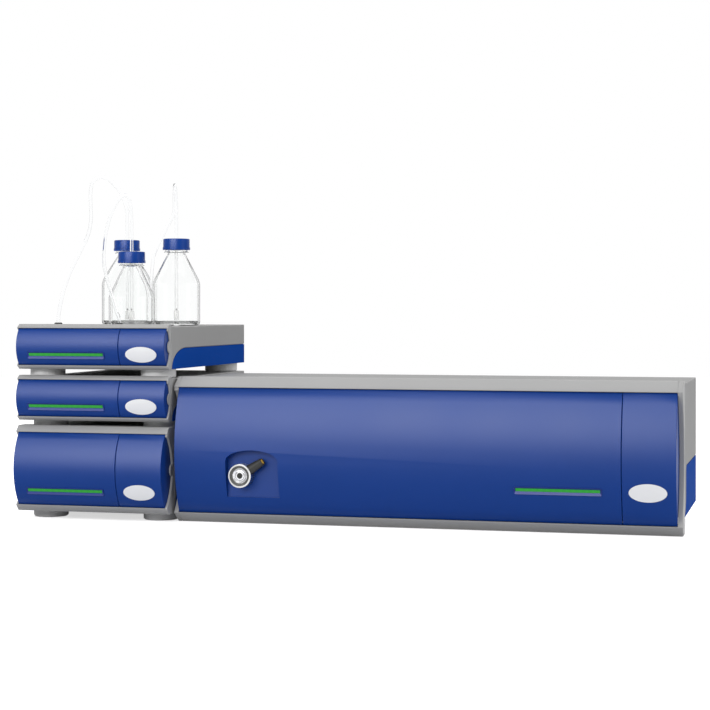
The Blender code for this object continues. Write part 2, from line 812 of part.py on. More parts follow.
def build_badge(unit, centre_x, rise, width, height):
    """An oval plate that follows the panel's curve."""
    name = unit.name + "_badge"
    middle = unit.bottom + rise
    low = middle - height
    high = middle + height
    outer = []
    inner = []
    for step in range(ARC_STEPS + 1):
        z = high + (low - high) * step / ARC_STEPS
        outer.append((unit.face_y(z, SEAT_GAP + BADGE_THICKNESS), z))
        inner.append((unit.face_y(z, SEAT_GAP), z))
    mesh = side_mesh(name, outer + inner[::-1], centre_x - width, centre_x + width)
    badge = add_piece(name, mesh, surface("badge_white", (0.85, 0.85, 0.85), 0.25))
    oval = []
    for step in range(OVAL_SIDES):
        turn = 2 * math.pi * step / OVAL_SIDES
        x = centre_x + width / 2 * math.cos(turn)
        oval.append((x, middle + height / 2 * math.sin(turn)))
    front = unit.face_y(middle) - height
    trim(badge, front_mesh(name + "_oval", oval, front, front + 3 * height))
    return badge


def build_hood(unit):
    """The folded cover: top and two side walls that end at the split line."""
    name = unit.name + "_hood"
    line = unit.split_line(0.0)
    outline = [(unit.hood_front, unit.deck), (unit.back, unit.deck)] + line[::-1]
    if line[0][0] > unit.hood_front:
        outline.append((unit.hood_front, unit.base_bottom))
    mesh = side_mesh(name, outline, unit.left, unit.right)
    hood = add_piece(name, mesh, surface("hood_grey", GREY, 0.45))
    soften(hood, HOOD_EDGE_RADIUS / 2)
    inside = box_mesh(
        name + "_inside",
        (unit.left + HOOD_WALL, unit.hood_front - HOOD_WALL, unit.base_bottom - HOOD_WALL),
        (unit.right - HOOD_WALL, unit.back + HOOD_WALL, unit.deck - HOOD_WALL),
    )
    cut(hood, inside)


def build_base(unit):
    """The chassis: blue lower sides up to the split line and a closed core under the hood."""
    name = unit.name + "_base"
    line = unit.split_line(SPLIT_GAP)
    outline = [(unit.back, unit.base_bottom)]
    if line[0][1] > unit.base_bottom:
        outline.append((line[0][0], unit.base_bottom))
    mesh = side_mesh(name, outline + line, unit.left, unit.right)
    base = add_piece(name, mesh, surface("side_blue", SIDE_BLUE, 0.35))
    side = HOOD_WALL + SEAT_GAP
    core = box_mesh(
        name + "_core",
        (unit.left + side, unit.core_front, unit.base_bottom + JOIN_OVERLAP),
        (unit.right - side, unit.back - REAR_RECESS, unit.core_top),
    )
    join(base, core)
    return base


def add_feet(base, unit, support, side_inset, rows):
    """Four round feet under the base, down to what the unit stands on."""
    height = unit.base_bottom + JOIN_OVERLAP - support
    profile = [
        (0.0, height),
        (FOOT_RADIUS, height),
        (FOOT_RADIUS, FOOT_CHAMFER),
        (FOOT_RADIUS - FOOT_CHAMFER, 0.0),
        (0.0, 0.0),
    ]
    for x in (unit.left + side_inset, unit.right - side_inset):
        for y in rows:
            join(base, turned_mesh(base.name + "_foot", profile, upright(x, y, support), 16))


def bay_cutter(unit, name, x_from, x_to):
    """The service bay behind a lift-up panel."""
    return box_mesh(
        name,
        (x_from, unit.hood_front - BAY_MARGIN, unit.open_bottom + BAY_MARGIN),
        (x_to, unit.core_front + BAY_DEPTH, unit.open_top - BAY_MARGIN),
    )


def build_port_block(unit, columns, rows):
    """A manifold block with screwed tube fittings, on the back wall of a service bay."""
    name = unit.name + "_port_block"
    wall = unit.core_front + BAY_DEPTH - SEAT_GAP
    centre_x = unit.right - STACK_SEAM_FROM_RIGHT / 2
    middle = (unit.open_bottom + unit.open_top) / 2
    half_x = (columns - 1) / 2 * PORT_PITCH + PORT_BLOCK_EDGE
    half_z = (rows - 1) / 2 * PORT_PITCH + PORT_BLOCK_EDGE
    mesh = box_mesh(
        name,
        (centre_x - half_x, wall - PORT_BLOCK, middle - half_z),
        (centre_x + half_x, wall, middle + half_z),
    )
    block = add_piece(name, mesh, surface("port_white", (0.8, 0.8, 0.78), 0.4))
    profile = [
        (0.0, PORT_LENGTH),
        (PORT_RADIUS * 0.7, PORT_LENGTH),
        (PORT_RADIUS, PORT_LENGTH * 0.85),
        (PORT_RADIUS, PORT_LENGTH * 0.3),
        (PORT_FLANGE_RADIUS, PORT_LENGTH * 0.3),
        (PORT_FLANGE_RADIUS, -JOIN_OVERLAP),
        (0.0, -JOIN_OVERLAP),
    ]
    for column in range(columns):
        for row in range(rows):
            x = centre_x + (column - (columns - 1) / 2) * PORT_PITCH
            z = middle + (row - (rows - 1) / 2) * PORT_PITCH
            join(block, turned_mesh(name + "_port", profile, facing(x, wall - PORT_BLOCK, z), 8))


def back_cutter(unit, name, vent_x):
    """Vent slots, the power inlet and its switch's well, in a unit's back."""
    low = unit.base_bottom + INLET_RISE
    meshes = []
    for slot in range(VENT_COUNT):
        x = vent_x + slot * VENT_PITCH
        corner = (x, unit.back - VENT_DEPTH, low)
        far = (x + VENT_WIDTH, unit.back + VENT_DEPTH, low + VENT_HEIGHT)
        meshes.append(box_mesh(name, corner, far))
    inlet_x = unit.left + INLET_FROM_LEFT
    corner = (inlet_x, unit.back - INLET_DEPTH, low)
    far = (inlet_x + INLET_WIDTH, unit.back + VENT_DEPTH, low + INLET_HEIGHT)
    meshes.append(box_mesh(name, corner, far))
    well = ROCKER_WIDTH / 2 + SEAT_GAP
    high = ROCKER_HALF + ROCKER_CLEARANCE
    x = inlet_x + INLET_WIDTH + ROCKER_OFFSET
    z = low + INLET_HEIGHT / 2
    corner = (x - well, unit.back - ROCKER_DEPTH - ROCKER_CLEARANCE, z - high)
    far = (x + well, unit.back + VENT_DEPTH, z + high)
    meshes.append(box_mesh(name, corner, far))
    return gather(name, meshes)


def inlet_pins(unit, name):
    """Three flat contacts in the power inlet."""
    inlet_x = unit.left + INLET_FROM_LEFT + INLET_WIDTH / 2
    middle = unit.base_bottom + INLET_RISE + INLET_HEIGHT / 2
    floor = unit.back - INLET_DEPTH
    meshes = []
    for side in (-1, 0, 1):
        x = inlet_x + side * INLET_PIN_SPREAD
        z = middle + (1 - 2 * abs(side)) * INLET_PIN_STAGGER
        corner = (x - INLET_PIN / 2, floor - INLET_PIN, z - INLET_PIN)
        far = (x + INLET_PIN / 2, floor + INLET_PIN_LENGTH, z + INLET_PIN)
        meshes.append(box_mesh(name, corner, far))
    return gather(name, meshes)


def build_rocker(unit):
    """A mains rocker that tips about X, stored with its lower half pressed in."""
    name = unit.name + "_power_switch"
    x = unit.left + INLET_FROM_LEFT + INLET_WIDTH + ROCKER_OFFSET
    y = unit.back - ROCKER_DEPTH / 2
    z = unit.base_bottom + INLET_RISE + INLET_HEIGHT / 2
    half = ROCKER_HALF
    outline = [
        (-ROCKER_DEPTH / 2, -half * 0.85),
        (ROCKER_DEPTH / 2 + ROCKER_DEPTH * 0.2, -half),
        (ROCKER_DEPTH / 2, 0.0),
        (ROCKER_DEPTH / 2 + ROCKER_DEPTH * 0.2, half),
        (-ROCKER_DEPTH / 2, half * 0.85),
    ]
    tilt = math.radians(ROCKER_TILT)
    turned = []
    for u, v in outline:
        turned_y = y + u * math.cos(tilt) + v * math.sin(tilt)
        turned.append((turned_y, z - u * math.sin(tilt) + v * math.cos(tilt)))
    mesh = side_mesh(name, turned, x - ROCKER_WIDTH / 2, x + ROCKER_WIDTH / 2)
    rocker = add_piece(name, mesh, surface("switch_black", (0.02, 0.02, 0.02), 0.4))
    hang(rocker, pivot(name + "_axis", (x, y, z)))


def build_narrow_unit(unit, support, foot_inset, light, badge_rise):
    """Shell, panels, light, badge and feet that the three stacked units share.

    The light is given by its distance from the left and its rise.
    """
    seam_x = unit.right - STACK_SEAM_FROM_RIGHT
    panel_left = unit.left + unit.wall + PANEL_SIDE_GAP
    panel_right = unit.right - unit.wall - PANEL_SIDE_GAP
    bezel = build_bezel(unit)
    add_scoop(bezel, unit)
    pivot_lug(bezel, unit, unit.right - unit.wall / 2)
    pivot_pin(bezel, unit, unit.right - unit.wall / 2, panel_right, -1)
    panel, inside = build_panel(unit.name + "_front_panel", unit, panel_left, seam_x - SEAM)
    cut(panel, inside)
    pivot_pin(panel, unit, seam_x - SEAM - CHEEK / 2, seam_x, 1)
    build_light(unit, panel, unit.left + light[0], light[1])
    flap, inside = build_panel(unit.name + "_flap", unit, seam_x, panel_right)
    cut(flap, inside)
    pivot_hole(flap, unit, seam_x, 1)
    pivot_hole(flap, unit, panel_right, -1)
    axis = pivot(unit.name + "_flap_axis", (seam_x, unit.pivot_y, unit.pivot_z))
    hang(flap, axis)
    badge_x = unit.right - STACK_BADGE_FROM_RIGHT
    hang(build_badge(unit, badge_x, badge_rise, BADGE_WIDTH, BADGE_HEIGHT), axis)
    build_hood(unit)
    base = build_base(unit)
    bay = bay_cutter(unit, unit.name + "_bay", seam_x + CHEEK, unit.right - unit.wall - BAY_MARGIN)
    cut(base, bay)
    rows = (SLIM_LIP + foot_inset, STACK_BACK - FOOT_BACK_INSET)
    add_feet(base, unit, support, FOOT_SIDE_INSET, rows)
    return base


def build_pump_parts(unit, base):
    """Two pump heads on the bay wall with the purge valve's knob between them, and the back."""
    centre_x = unit.right - STACK_SEAM_FROM_RIGHT / 2
    wall = unit.core_front + BAY_DEPTH - SEAT_GAP
    middle = (unit.open_bottom + unit.open_top) / 2
    spread = HEAD_RADIUS + PURGE_RADIUS + BAY_MARGIN / 2
    profile = [
        (0.0, HEAD_LENGTH),
        (HEAD_CAP_RADIUS * 0.5, HEAD_LENGTH),
        (HEAD_CAP_RADIUS * 0.5, HEAD_LENGTH * 0.85),
        (HEAD_CAP_RADIUS, HEAD_LENGTH * 0.85),
        (HEAD_CAP_RADIUS, HEAD_LENGTH * 0.55),
        (HEAD_RADIUS, HEAD_LENGTH * 0.55),
        (HEAD_RADIUS, 0.0),
        (0.0, 0.0),
    ]
    steel = surface("steel", (0.6, 0.6, 0.6), 0.3, 1.0)
    for name, z in (("pump_head_lower", middle - spread), ("pump_head_upper", middle + spread)):
        add_piece(name, turned_mesh(name, profile, facing(centre_x, wall, z), 24), steel)
    knob = [
        (0.0, PURGE_LENGTH),
        (PURGE_RADIUS * 0.85, PURGE_LENGTH),
        (PURGE_RADIUS, PURGE_LENGTH * 0.85),
        (PURGE_RADIUS, PURGE_LENGTH * 0.4),
        (PURGE_STEM_RADIUS, PURGE_LENGTH * 0.4),
        (PURGE_STEM_RADIUS, 0.0),
        (0.0, 0.0),
    ]
    mesh = turned_mesh("pump_purge_knob", knob, facing(centre_x, wall, middle), 20)
    black = surface("knob_black", (0.03, 0.03, 0.03), 0.45)
    purge = add_piece("pump_purge_knob", mesh, black)
    hang(purge, pivot("pump_purge_axis", (centre_x, wall, middle)))
    cut(base, back_cutter(unit, "pump_back_cuts", unit.left + STACK_WIDTH / 2 + VENT_PITCH))
    join(base, inlet_pins(unit, "pump_inlet_pins"))
    build_rocker(unit)


def arch_outline(grow):
    """The pocket's outline from the front: straight sides under a flat elliptic arch."""
    left = WIDE_LEFT + POCKET_FROM_LEFT - grow
    right = WIDE_LEFT + POCKET_FROM_LEFT + POCKET_WIDTH + grow
    low = WIDE_BEZEL_CLEARANCE + POCKET_RISE - grow
    spring = low + POCKET_SIDE_HEIGHT + grow
    middle = (left + right) / 2
    points = [(left, low), (right, low)]
    for step in range(ARC_STEPS + 1):
        turn = math.pi * step / ARC_STEPS
        x = middle + (right - left) / 2 * math.cos(turn)
        points.append((x, spring + (POCKET_ARCH + grow) * math.sin(turn)))
    return points


def build_wide_unit(unit):
    """Shell of the wide unit, its lift-up door with the valve pocket, and the fixed end panel."""
    seam_x = unit.right - WIDE_SEAM_FROM_RIGHT
    panel_left = unit.left + unit.wall + PANEL_SIDE_GAP
    panel_right = unit.right - unit.wall - PANEL_SIDE_GAP
    bezel = build_bezel(unit)
    cut_grooves(bezel, unit)
    pivot_lug(bezel, unit, unit.left + unit.wall / 2)
    pivot_pin(bezel, unit, unit.left + unit.wall / 2, panel_left, 1)

    door, inside = build_panel("channel_door", unit, panel_left, seam_x - SEAM)
    floor = unit.lip - POCKET_FLOOR_FORWARD
    boss_front = unit.lip - unit.hollow
    hollow = add_piece("channel_door_hollow", inside)
    boss_back = floor + POCKET_WALL
    cut(hollow, front_mesh("pocket_boss", arch_outline(POCKET_WALL), boss_front, boss_back))
    carve = door.modifiers.new("difference", "BOOLEAN")
    carve.operation = "DIFFERENCE"
    carve.solver = "EXACT"
    carve.object = hollow
    cut(door, front_mesh("pocket", arch_outline(0.0), boss_front, floor))
    pivot_hole(door, unit, panel_left, 1)
    pivot_hole(door, unit, seam_x - SEAM, -1)
    axis = pivot("channel_door_axis", (unit.left, unit.pivot_y, unit.pivot_z))
    hang(door, axis)
    build_valve(unit, door, floor, axis)
    light_x = unit.right - WIDE_LIGHT_FROM_RIGHT - LIGHT_LENGTH
    hang(build_light(unit, door, light_x, WIDE_LIGHT_RISE), axis)

    end, inside = build_panel("channel_end_panel", unit, seam_x, panel_right)
    cut(end, inside)
    pivot_pin(end, unit, seam_x + CHEEK / 2, seam_x - SEAM, -1)
    badge_x = unit.right - WIDE_BADGE_FROM_RIGHT
    build_badge(unit, badge_x, WIDE_BADGE_RISE, WIDE_BADGE_WIDTH, WIDE_BADGE_HEIGHT)

    build_hood(unit)
    base = build_base(unit)
    rows = (unit.lip + WIDE_FOOT_FRONT_INSET, unit.back - FOOT_BACK_INSET)
    add_feet(base, unit, 0.0, WIDE_FOOT_SIDE_INSET, rows)
    return base


def build_valve(unit, door, floor, door_axis):
    """Manual injection valve: stator behind the pocket floor, turning hub and lever in front."""
    x = unit.left + VALVE_FROM_LEFT
    z = unit.bottom + VALVE_RISE
    steel = surface("valve_chrome", (0.8, 0.8, 0.8), 0.12, 1.0)
    black = surface("valve_black", (0.03, 0.03, 0.03), 0.4)
    bore_radius = STEM_RADIUS + SEAT_GAP
    bore_front = (x, floor - POCKET_WALL, z)
    bore_back = (x, floor + 2 * POCKET_WALL, z)
    cut(door, rod_mesh("valve_bore", bore_front, bore_back, bore_radius))

    back = POCKET_WALL + SEAT_GAP
    stator = [
        (0.0, SEAT_GAP),
        (STEM_RADIUS, SEAT_GAP),
        (STEM_RADIUS, -back),
        (STATOR_RADIUS, -back),
        (STATOR_RADIUS, -back - STATOR_LENGTH),
        (0.0, -back - STATOR_LENGTH),
    ]
    mesh = turned_mesh("valve_stator", stator, facing(x, floor, z), 24)
    hang(add_piece("valve_stator", mesh, steel), door_axis)

    valve_axis = pivot("valve_axis", (x, floor, z))
    hang(valve_axis, door_axis)
    bpy.context.view_layer.update()
    rear = 2 * SEAT_GAP
    front = rear + HUB_LENGTH
    cup_radius = HUB_RADIUS - HUB_RIM
    hub = [
        (0.0, front - CUP_DEPTH),
        (cup_radius, front - CUP_DEPTH),
        (cup_radius, front),
        (HUB_RADIUS - HUB_RIM / 3, front),
        (HUB_RADIUS, front - HUB_RIM / 3),
        (HUB_RADIUS, rear),
        (0.0, rear),
    ]
    mesh = turned_mesh("valve_hub", hub, facing(x, floor, z), VALVE_STEPS)
    hang(add_piece("valve_hub", mesh, steel), valve_axis)

    seat = front - CUP_DEPTH + SEAT_GAP
    face = front - HUB_RIM / 2
    insert_out = cup_radius - SEAT_GAP
    insert_in = insert_out - INSERT_WIDTH
    insert = [
        (insert_in, face - HUB_RIM / 2),
        (insert_out, face),
        (insert_out, seat),
        (insert_in, seat),
        (insert_in, face - HUB_RIM / 2),
    ]
    mesh = turned_mesh("valve_insert", insert, facing(x, floor, z), VALVE_STEPS)
    hang(add_piece("valve_insert", mesh, black), valve_axis)

    dish = insert_in - SEAT_GAP
    port = [
        (0.0, seat + HUB_RIM / 3),
        (FUNNEL_END_RADIUS, seat + HUB_RIM / 3),
        (FUNNEL_RADIUS, face - HUB_RIM / 2),
        (dish * DISH_HOLLOW_SHARE, face - HUB_RIM),
        (dish * DISH_EDGE_SHARE, face),
        (dish, face - HUB_RIM / 3),
        (dish, seat),
        (0.0, seat),
    ]
    mesh = turned_mesh("valve_needle_port", port, facing(x, floor, z), VALVE_STEPS)
    hang(add_piece("valve_needle_port", mesh, steel), valve_axis)

    lever_y = floor - rear - HUB_LENGTH / 2
    angle = math.radians(LEVER_REST_ANGLE)
    along = Vector((math.cos(angle), 0.0, math.sin(angle)))
    centre = Vector((x, lever_y, z))
    root = centre + along * (HUB_RADIUS - LEVER_ROOT_RADIUS / 2)
    end = centre + along * LEVER_REACH
    mesh = rod_mesh("valve_lever", root, end, LEVER_ROOT_RADIUS, LEVER_END_RADIUS, 20)
    lever = add_piece("valve_lever", mesh, black)
    soften(lever, LEVER_ROUNDING)
    saddle = rod_mesh(
        "valve_lever_saddle",
        (x, lever_y - HUB_LENGTH, z),
        (x, lever_y + HUB_LENGTH, z),
        HUB_RADIUS + SEAT_GAP,
        sides=VALVE_STEPS,
    )
    cut(lever, saddle)
    hang(lever, valve_axis)
    tip_start = centre + along * (LEVER_REACH + SEAT_GAP)
    tip_end = tip_start + along * LEVER_TIP_LENGTH
    end_radius = LEVER_TIP_RADIUS - LEVER_TIP_LENGTH / 2
    mesh = rod_mesh("valve_lever_tip", tip_start, tip_end, LEVER_TIP_RADIUS, end_radius, 20)
    brass = surface("brass", (0.75, 0.5, 0.15), 0.3, 1.0)
    hang(add_piece("valve_lever_tip", mesh, brass), valve_axis)


def build_channel(unit, base):
    """Cabinet behind the door with the clamped hot and cold blocks on two rails."""
    cabinet_left = unit.left + CABINET_WALL
    left = cabinet_left + CHANNEL_END_SPACE
    right = left + CHANNEL_LENGTH
    cabinet_right = right + CHANNEL_END_SPACE
    floor = unit.base_bottom + CABINET_FLOOR
    ceiling = unit.deck - HOOD_WALL - SEAT_GAP - CABINET_FLOOR
    cabinet_back = unit.hood_front + CABINET_DEPTH
    cabinet = box_mesh(
        "channel_cabinet",
        (cabinet_left, unit.hood_front - CABINET_WALL, floor),
        (cabinet_right, cabinet_back, ceiling),
    )
    cut(base, cabinet)

    back = cabinet_back - CHANNEL_BACK_GAP
    front = back - CHANNEL_DEPTH
    for x in (left + RAIL_WIDTH, right - RAIL_WIDTH):
        rail = box_mesh(
            "channel_rail",
            (x - RAIL_WIDTH / 2, front, floor - CABINET_FLOOR / 2),
            (x + RAIL_WIDTH / 2, back, floor + RAIL_HEIGHT),
        )
        join(base, rail)

    cold_low = floor + RAIL_HEIGHT + SEAT_GAP
    spacer_low = cold_low + BLOCK_HEIGHT + SEAT_GAP
    hot_low = spacer_low + SPACER_THICKNESS + SEAT_GAP
    copper = surface("hot_block_copper", (0.55, 0.3, 0.2), 0.35, 1.0)
    alloy = surface("cold_block_alloy", (0.6, 0.62, 0.65), 0.35, 1.0)
    film = surface("spacer_film", (0.75, 0.5, 0.1), 0.3)
    for name, low, material in (
        ("channel_cold_block", cold_low, alloy),
        ("channel_hot_block", hot_low, copper),
    ):
        mesh = box_mesh(name, (left, front, low), (right, back, low + BLOCK_HEIGHT))
        soften(add_piece(name, mesh, material), BLOCK_ROUNDING)
    low = (left + SPACER_INSET, front + SPACER_INSET, spacer_low)
    high = (right - SPACER_INSET, back - SPACER_INSET, spacer_low + SPACER_THICKNESS)
    add_piece("channel_spacer", box_mesh("channel_spacer", low, high), film)

    seat = hot_low + BLOCK_HEIGHT + SEAT_GAP
    steel = surface("steel", (0.6, 0.6, 0.6), 0.3, 1.0)
    for name, y in (("clamp_bar_front", front + BOLT_EDGE), ("clamp_bar_back", back - BOLT_EDGE)):
        low = (left, y - CLAMP_BAR_WIDTH / 2, seat)
        high = (right, y + CLAMP_BAR_WIDTH / 2, seat + CLAMP_BAR_HEIGHT)
        bar = add_piece(name, box_mesh(name, low, high), steel)
        for index in range(BOLT_COUNT):
            x = left + BOLT_EDGE + (right - left - 2 * BOLT_EDGE) * index / (BOLT_COUNT - 1)
            start = (x, y, seat + CLAMP_BAR_HEIGHT - JOIN_OVERLAP)
            end = (x, y, seat + CLAMP_BAR_HEIGHT + BOLT_HEAD_HEIGHT)
            join(bar, rod_mesh(name + "_bolt", start, end, BOLT_HEAD_RADIUS, sides=6))

    plate_x = right + SEAT_GAP
    low = (plate_x, front + HEATER_PLATE, hot_low + HEATER_PLATE)
    high = (plate_x + HEATER_PLATE, back - HEATER_PLATE, hot_low + BLOCK_HEIGHT - HEATER_PLATE)
    heaters = add_piece("heater_cartridges", box_mesh("heater_cartridges", low, high), steel)
    for index in range(HEATER_COUNT):
        y = front + CHANNEL_DEPTH * (index + 1) / (HEATER_COUNT + 1)
        z = hot_low + BLOCK_HEIGHT / 2
        start = (plate_x + HEATER_PLATE - JOIN_OVERLAP, y, z)
        end = (plate_x + HEATER_LENGTH, y, z)
        join(heaters, rod_mesh("heater_cartridge", start, end, HEATER_RADIUS, sides=12))


def build_wide_back(unit, base):
    """Power inlet, switch, vents and the two coolant connectors on the wide unit's back."""
    cut(base, back_cutter(unit, "channel_back_cuts", unit.left + WIDE_WIDTH / 2))
    join(base, inlet_pins(unit, "channel_inlet_pins"))
    build_rocker(unit)
    z = unit.base_bottom + INLET_RISE + VENT_HEIGHT / 2
    right = unit.right - INLET_FROM_LEFT
    low = (right - 2 * COOLANT_PORT_PITCH, unit.back + SEAT_GAP, z - COOLANT_PORT_PITCH / 2)
    high = (right, unit.back + SEAT_GAP + COOLANT_PLATE, z + COOLANT_PORT_PITCH / 2)
    name = "coolant_fittings"
    brass = surface("brass", (0.75, 0.5, 0.15), 0.3, 1.0)
    fittings = add_piece(name, box_mesh(name, low, high), brass)
    profile = [
        (0.0, JOIN_OVERLAP),
        (COOLANT_PORT_RADIUS * 0.8, JOIN_OVERLAP),
        (COOLANT_PORT_RADIUS * 0.8, -COOLANT_PORT_LENGTH * 0.35),
        (COOLANT_PORT_RADIUS, -COOLANT_PORT_LENGTH * 0.4),
        (COOLANT_PORT_RADIUS * 0.75, -COOLANT_PORT_LENGTH),
        (0.0, -COOLANT_PORT_LENGTH),
    ]
    for side in (0.5, 1.5):
        place = facing(right - COOLANT_PORT_PITCH * side, high[1], z)
        join(fittings, turned_mesh(name + "_barb", profile, place, 16))


def bottle_profile(height, radius):
    """Inside and outside of a glass bottle, from the middle of its floor round the rim."""
    cap_low = height - CAP_HEIGHT
    ring_top = cap_low - NECK_RING_TOP
    rim = height - CAP_TOP - CAP_CLEARANCE
    neck_bore = NECK_RADIUS - BOTTLE_WALL
    body_bore = radius - BOTTLE_WALL
    middle = radius - SHOULDER_MIDDLE_INSET
    low = radius - SHOULDER_LOW_INSET
    return [
        (0.0, BOTTLE_PUNT + BOTTLE_WALL),
        (body_bore - BOTTLE_CORNER, BOTTLE_WALL * 1.2),
        (body_bore, BOTTLE_CORNER + BOTTLE_WALL),
        (body_bore, cap_low - BODY_TOP),
        (low - BOTTLE_WALL, cap_low - SHOULDER_LOW),
        (middle - BOTTLE_WALL, cap_low - SHOULDER_MIDDLE),
        (neck_bore, cap_low - SHOULDER_TOP),
        (neck_bore, rim),
        (FINISH_RADIUS, rim),
        (FINISH_RADIUS, ring_top),
        (NECK_RING_RADIUS, ring_top - NECK_RING_HEIGHT / 3),
        (NECK_RING_RADIUS, ring_top - NECK_RING_HEIGHT * 2 / 3),
        (NECK_RADIUS, ring_top - NECK_RING_HEIGHT),
        (NECK_RADIUS, cap_low - SHOULDER_TOP),
        (middle, cap_low - SHOULDER_MIDDLE),
        (low, cap_low - SHOULDER_LOW),
        (radius, cap_low - BODY_TOP),
        (radius, BOTTLE_CORNER),
        (radius - BOTTLE_CORNER / 3, BOTTLE_CORNER / 3),
        (radius - BOTTLE_CORNER, 0.0),
        (0.0, BOTTLE_PUNT),
    ]


def cap_profile():
    """A screw cap with a lower band and a hole for the tube, from its inner rim round the top."""
    bore = FINISH_RADIUS + CAP_CLEARANCE
    hole = TUBE_RADIUS + TUBE_CLEARANCE
    return [
        (hole, CAP_HEIGHT),
        (CAP_RADIUS - CAP_WALL / 2, CAP_HEIGHT),
        (CAP_RADIUS - CAP_WALL / 7, CAP_HEIGHT - CAP_WALL / 7),
        (CAP_RADIUS, CAP_HEIGHT - CAP_WALL / 2),
        (CAP_RADIUS, CAP_BAND_HEIGHT),
        (CAP_BAND_RADIUS, CAP_BAND_HEIGHT),
        (CAP_BAND_RADIUS, 0.0),
        (bore, 0.0),
        (bore, CAP_HEIGHT - CAP_TOP),
        (hole, CAP_HEIGHT - CAP_TOP),
        (hole, CAP_HEIGHT),
    ]


def smooth_route(points):
    """Points every tube spacing along a smooth curve through the route's own points."""
    ends = [points[0] * 2 - points[1]] + points + [points[-1] * 2 - points[-2]]
    fine = []
    for index in range(1, len(ends) - 2):
        before, start, end, after = ends[index - 1:index + 3]
        for step in range(20):
            t = step / 20
            bend = 2 * before - 5 * start + 4 * end - after
            cubic = 3 * (start - end) + after - before
            fine.append(start + ((end - before) * t + bend * t * t + cubic * t ** 3) / 2)
    fine.append(points[-1])
    route = [fine[0]]
    travelled = 0.0
    for first, second in zip(fine, fine[1:]):
        travelled += (second - first).length
        if travelled >= TUBE_SPACING:
            route.append(second)
            travelled = 0.0
    if (route[-1] - fine[-1]).length < TUBE_SPACING / 2:
        route.pop()
    return route + [fine[-1]]


def build_tube(name, points):
    """A clear tube along a route."""
    curve = bpy.data.curves.new(name, "CURVE")
    curve.dimensions = "3D"
    curve.bevel_depth = TUBE_RADIUS
    curve.bevel_resolution = 2
    curve.use_fill_caps = True
    spline = curve.splines.new("POLY")
    spline.points.add(len(points) - 1)
    for point, place in zip(spline.points, points):
        point.co = (*place, 1.0)
    tube = bpy.data.objects.new(name, curve)
    PARTS.objects.link(tube)
    curve.materials.append(surface("tube_clear", (0.9, 0.93, 0.95), 0.1, 0.0, 0.9))


def build_bottles(deck):
    """Three bottles on the organizer deck, their caps and the tubes down into the deck."""
    glass = surface("glass", (0.95, 0.98, 0.98), 0.05, 0.0, 1.0)
    blue = surface("cap_blue", (0.04, 0.12, 0.5), 0.35)
    rubber = surface("grommet_black", (0.03, 0.03, 0.03), 0.6)
    rest = deck + SEAT_GAP
    socket = GROMMET_HEIGHT - GROMMET_SOCKET
    collar = [
        (0.0, socket),
        (TUBE_RADIUS + TUBE_CLEARANCE, socket),
        (TUBE_RADIUS + TUBE_CLEARANCE, GROMMET_HEIGHT),
        (GROMMET_RADIUS * 0.8, GROMMET_HEIGHT),
        (GROMMET_RADIUS, GROMMET_HEIGHT * 0.6),
        (GROMMET_RADIUS, 0.0),
        (0.0, 0.0),
    ]
    for side, (right, back, height, radius) in BOTTLE_PLACES.items():
        x = STACK_RIGHT + right
        y = SLIM_LIP + back
        name = "bottle_" + side
        mesh = turned_mesh(name, bottle_profile(height, radius), upright(x, y, rest), 24)
        add_piece(name, mesh, glass)
        cap_low = rest + height - CAP_HEIGHT
        name = "cap_" + side
        cap = add_piece(name, turned_mesh(name, cap_profile(), upright(x, y, cap_low), 20), blue)
        hang(cap, pivot(name + "_axis", (x, y, cap_low)))
        end_x = STACK_RIGHT + GROMMET_PLACES[side][0]
        end_y = SLIM_LIP + GROMMET_PLACES[side][1]
        name = "grommet_" + side
        add_piece(name, turned_mesh(name, collar, upright(end_x, end_y, rest), 12), rubber)
        start = Vector((x, y, rest + TUBE_LIFT))
        neck = Vector((x, y, cap_low))
        above = Vector((x, y, rest + height + CAP_HEIGHT))
        middle = [
            Vector((STACK_RIGHT + u, SLIM_LIP + v, deck + w)) for u, v, w in TUBE_ROUTES[side]
        ]
        end = Vector((end_x, end_y, rest + socket + SEAT_GAP))
        straight = end + Vector((0.0, 0.0, 2 * GROMMET_HEIGHT))
        route = smooth_route([neck, above] + middle + [straight])
        build_tube("tube_" + side, [start] + route + [end])


def narrow_unit(name, bottom, height, lip):
    """A unit of the stack with the shared sides, pivots and panel gaps."""
    return Unit(name, STACK_LEFT, STACK_WIDTH, bottom, height, lip, STACK_BACK)


def fit_stack_panel(unit):
    """Panel place and pivot that all stacked units share."""
    unit.set_panel(PANEL_SETBACK, PANEL_LIP_GAP)
    unit.set_pivot(PIVOT_BACK, PIVOT_DOWN, PIVOT_RADIUS)


def foot_inset(below):
    """How far back a front foot stands, clear of the bezel of the unit below."""
    return below.bezel_back - SLIM_LIP + FOOT_BEHIND_BEZEL + FOOT_RADIUS


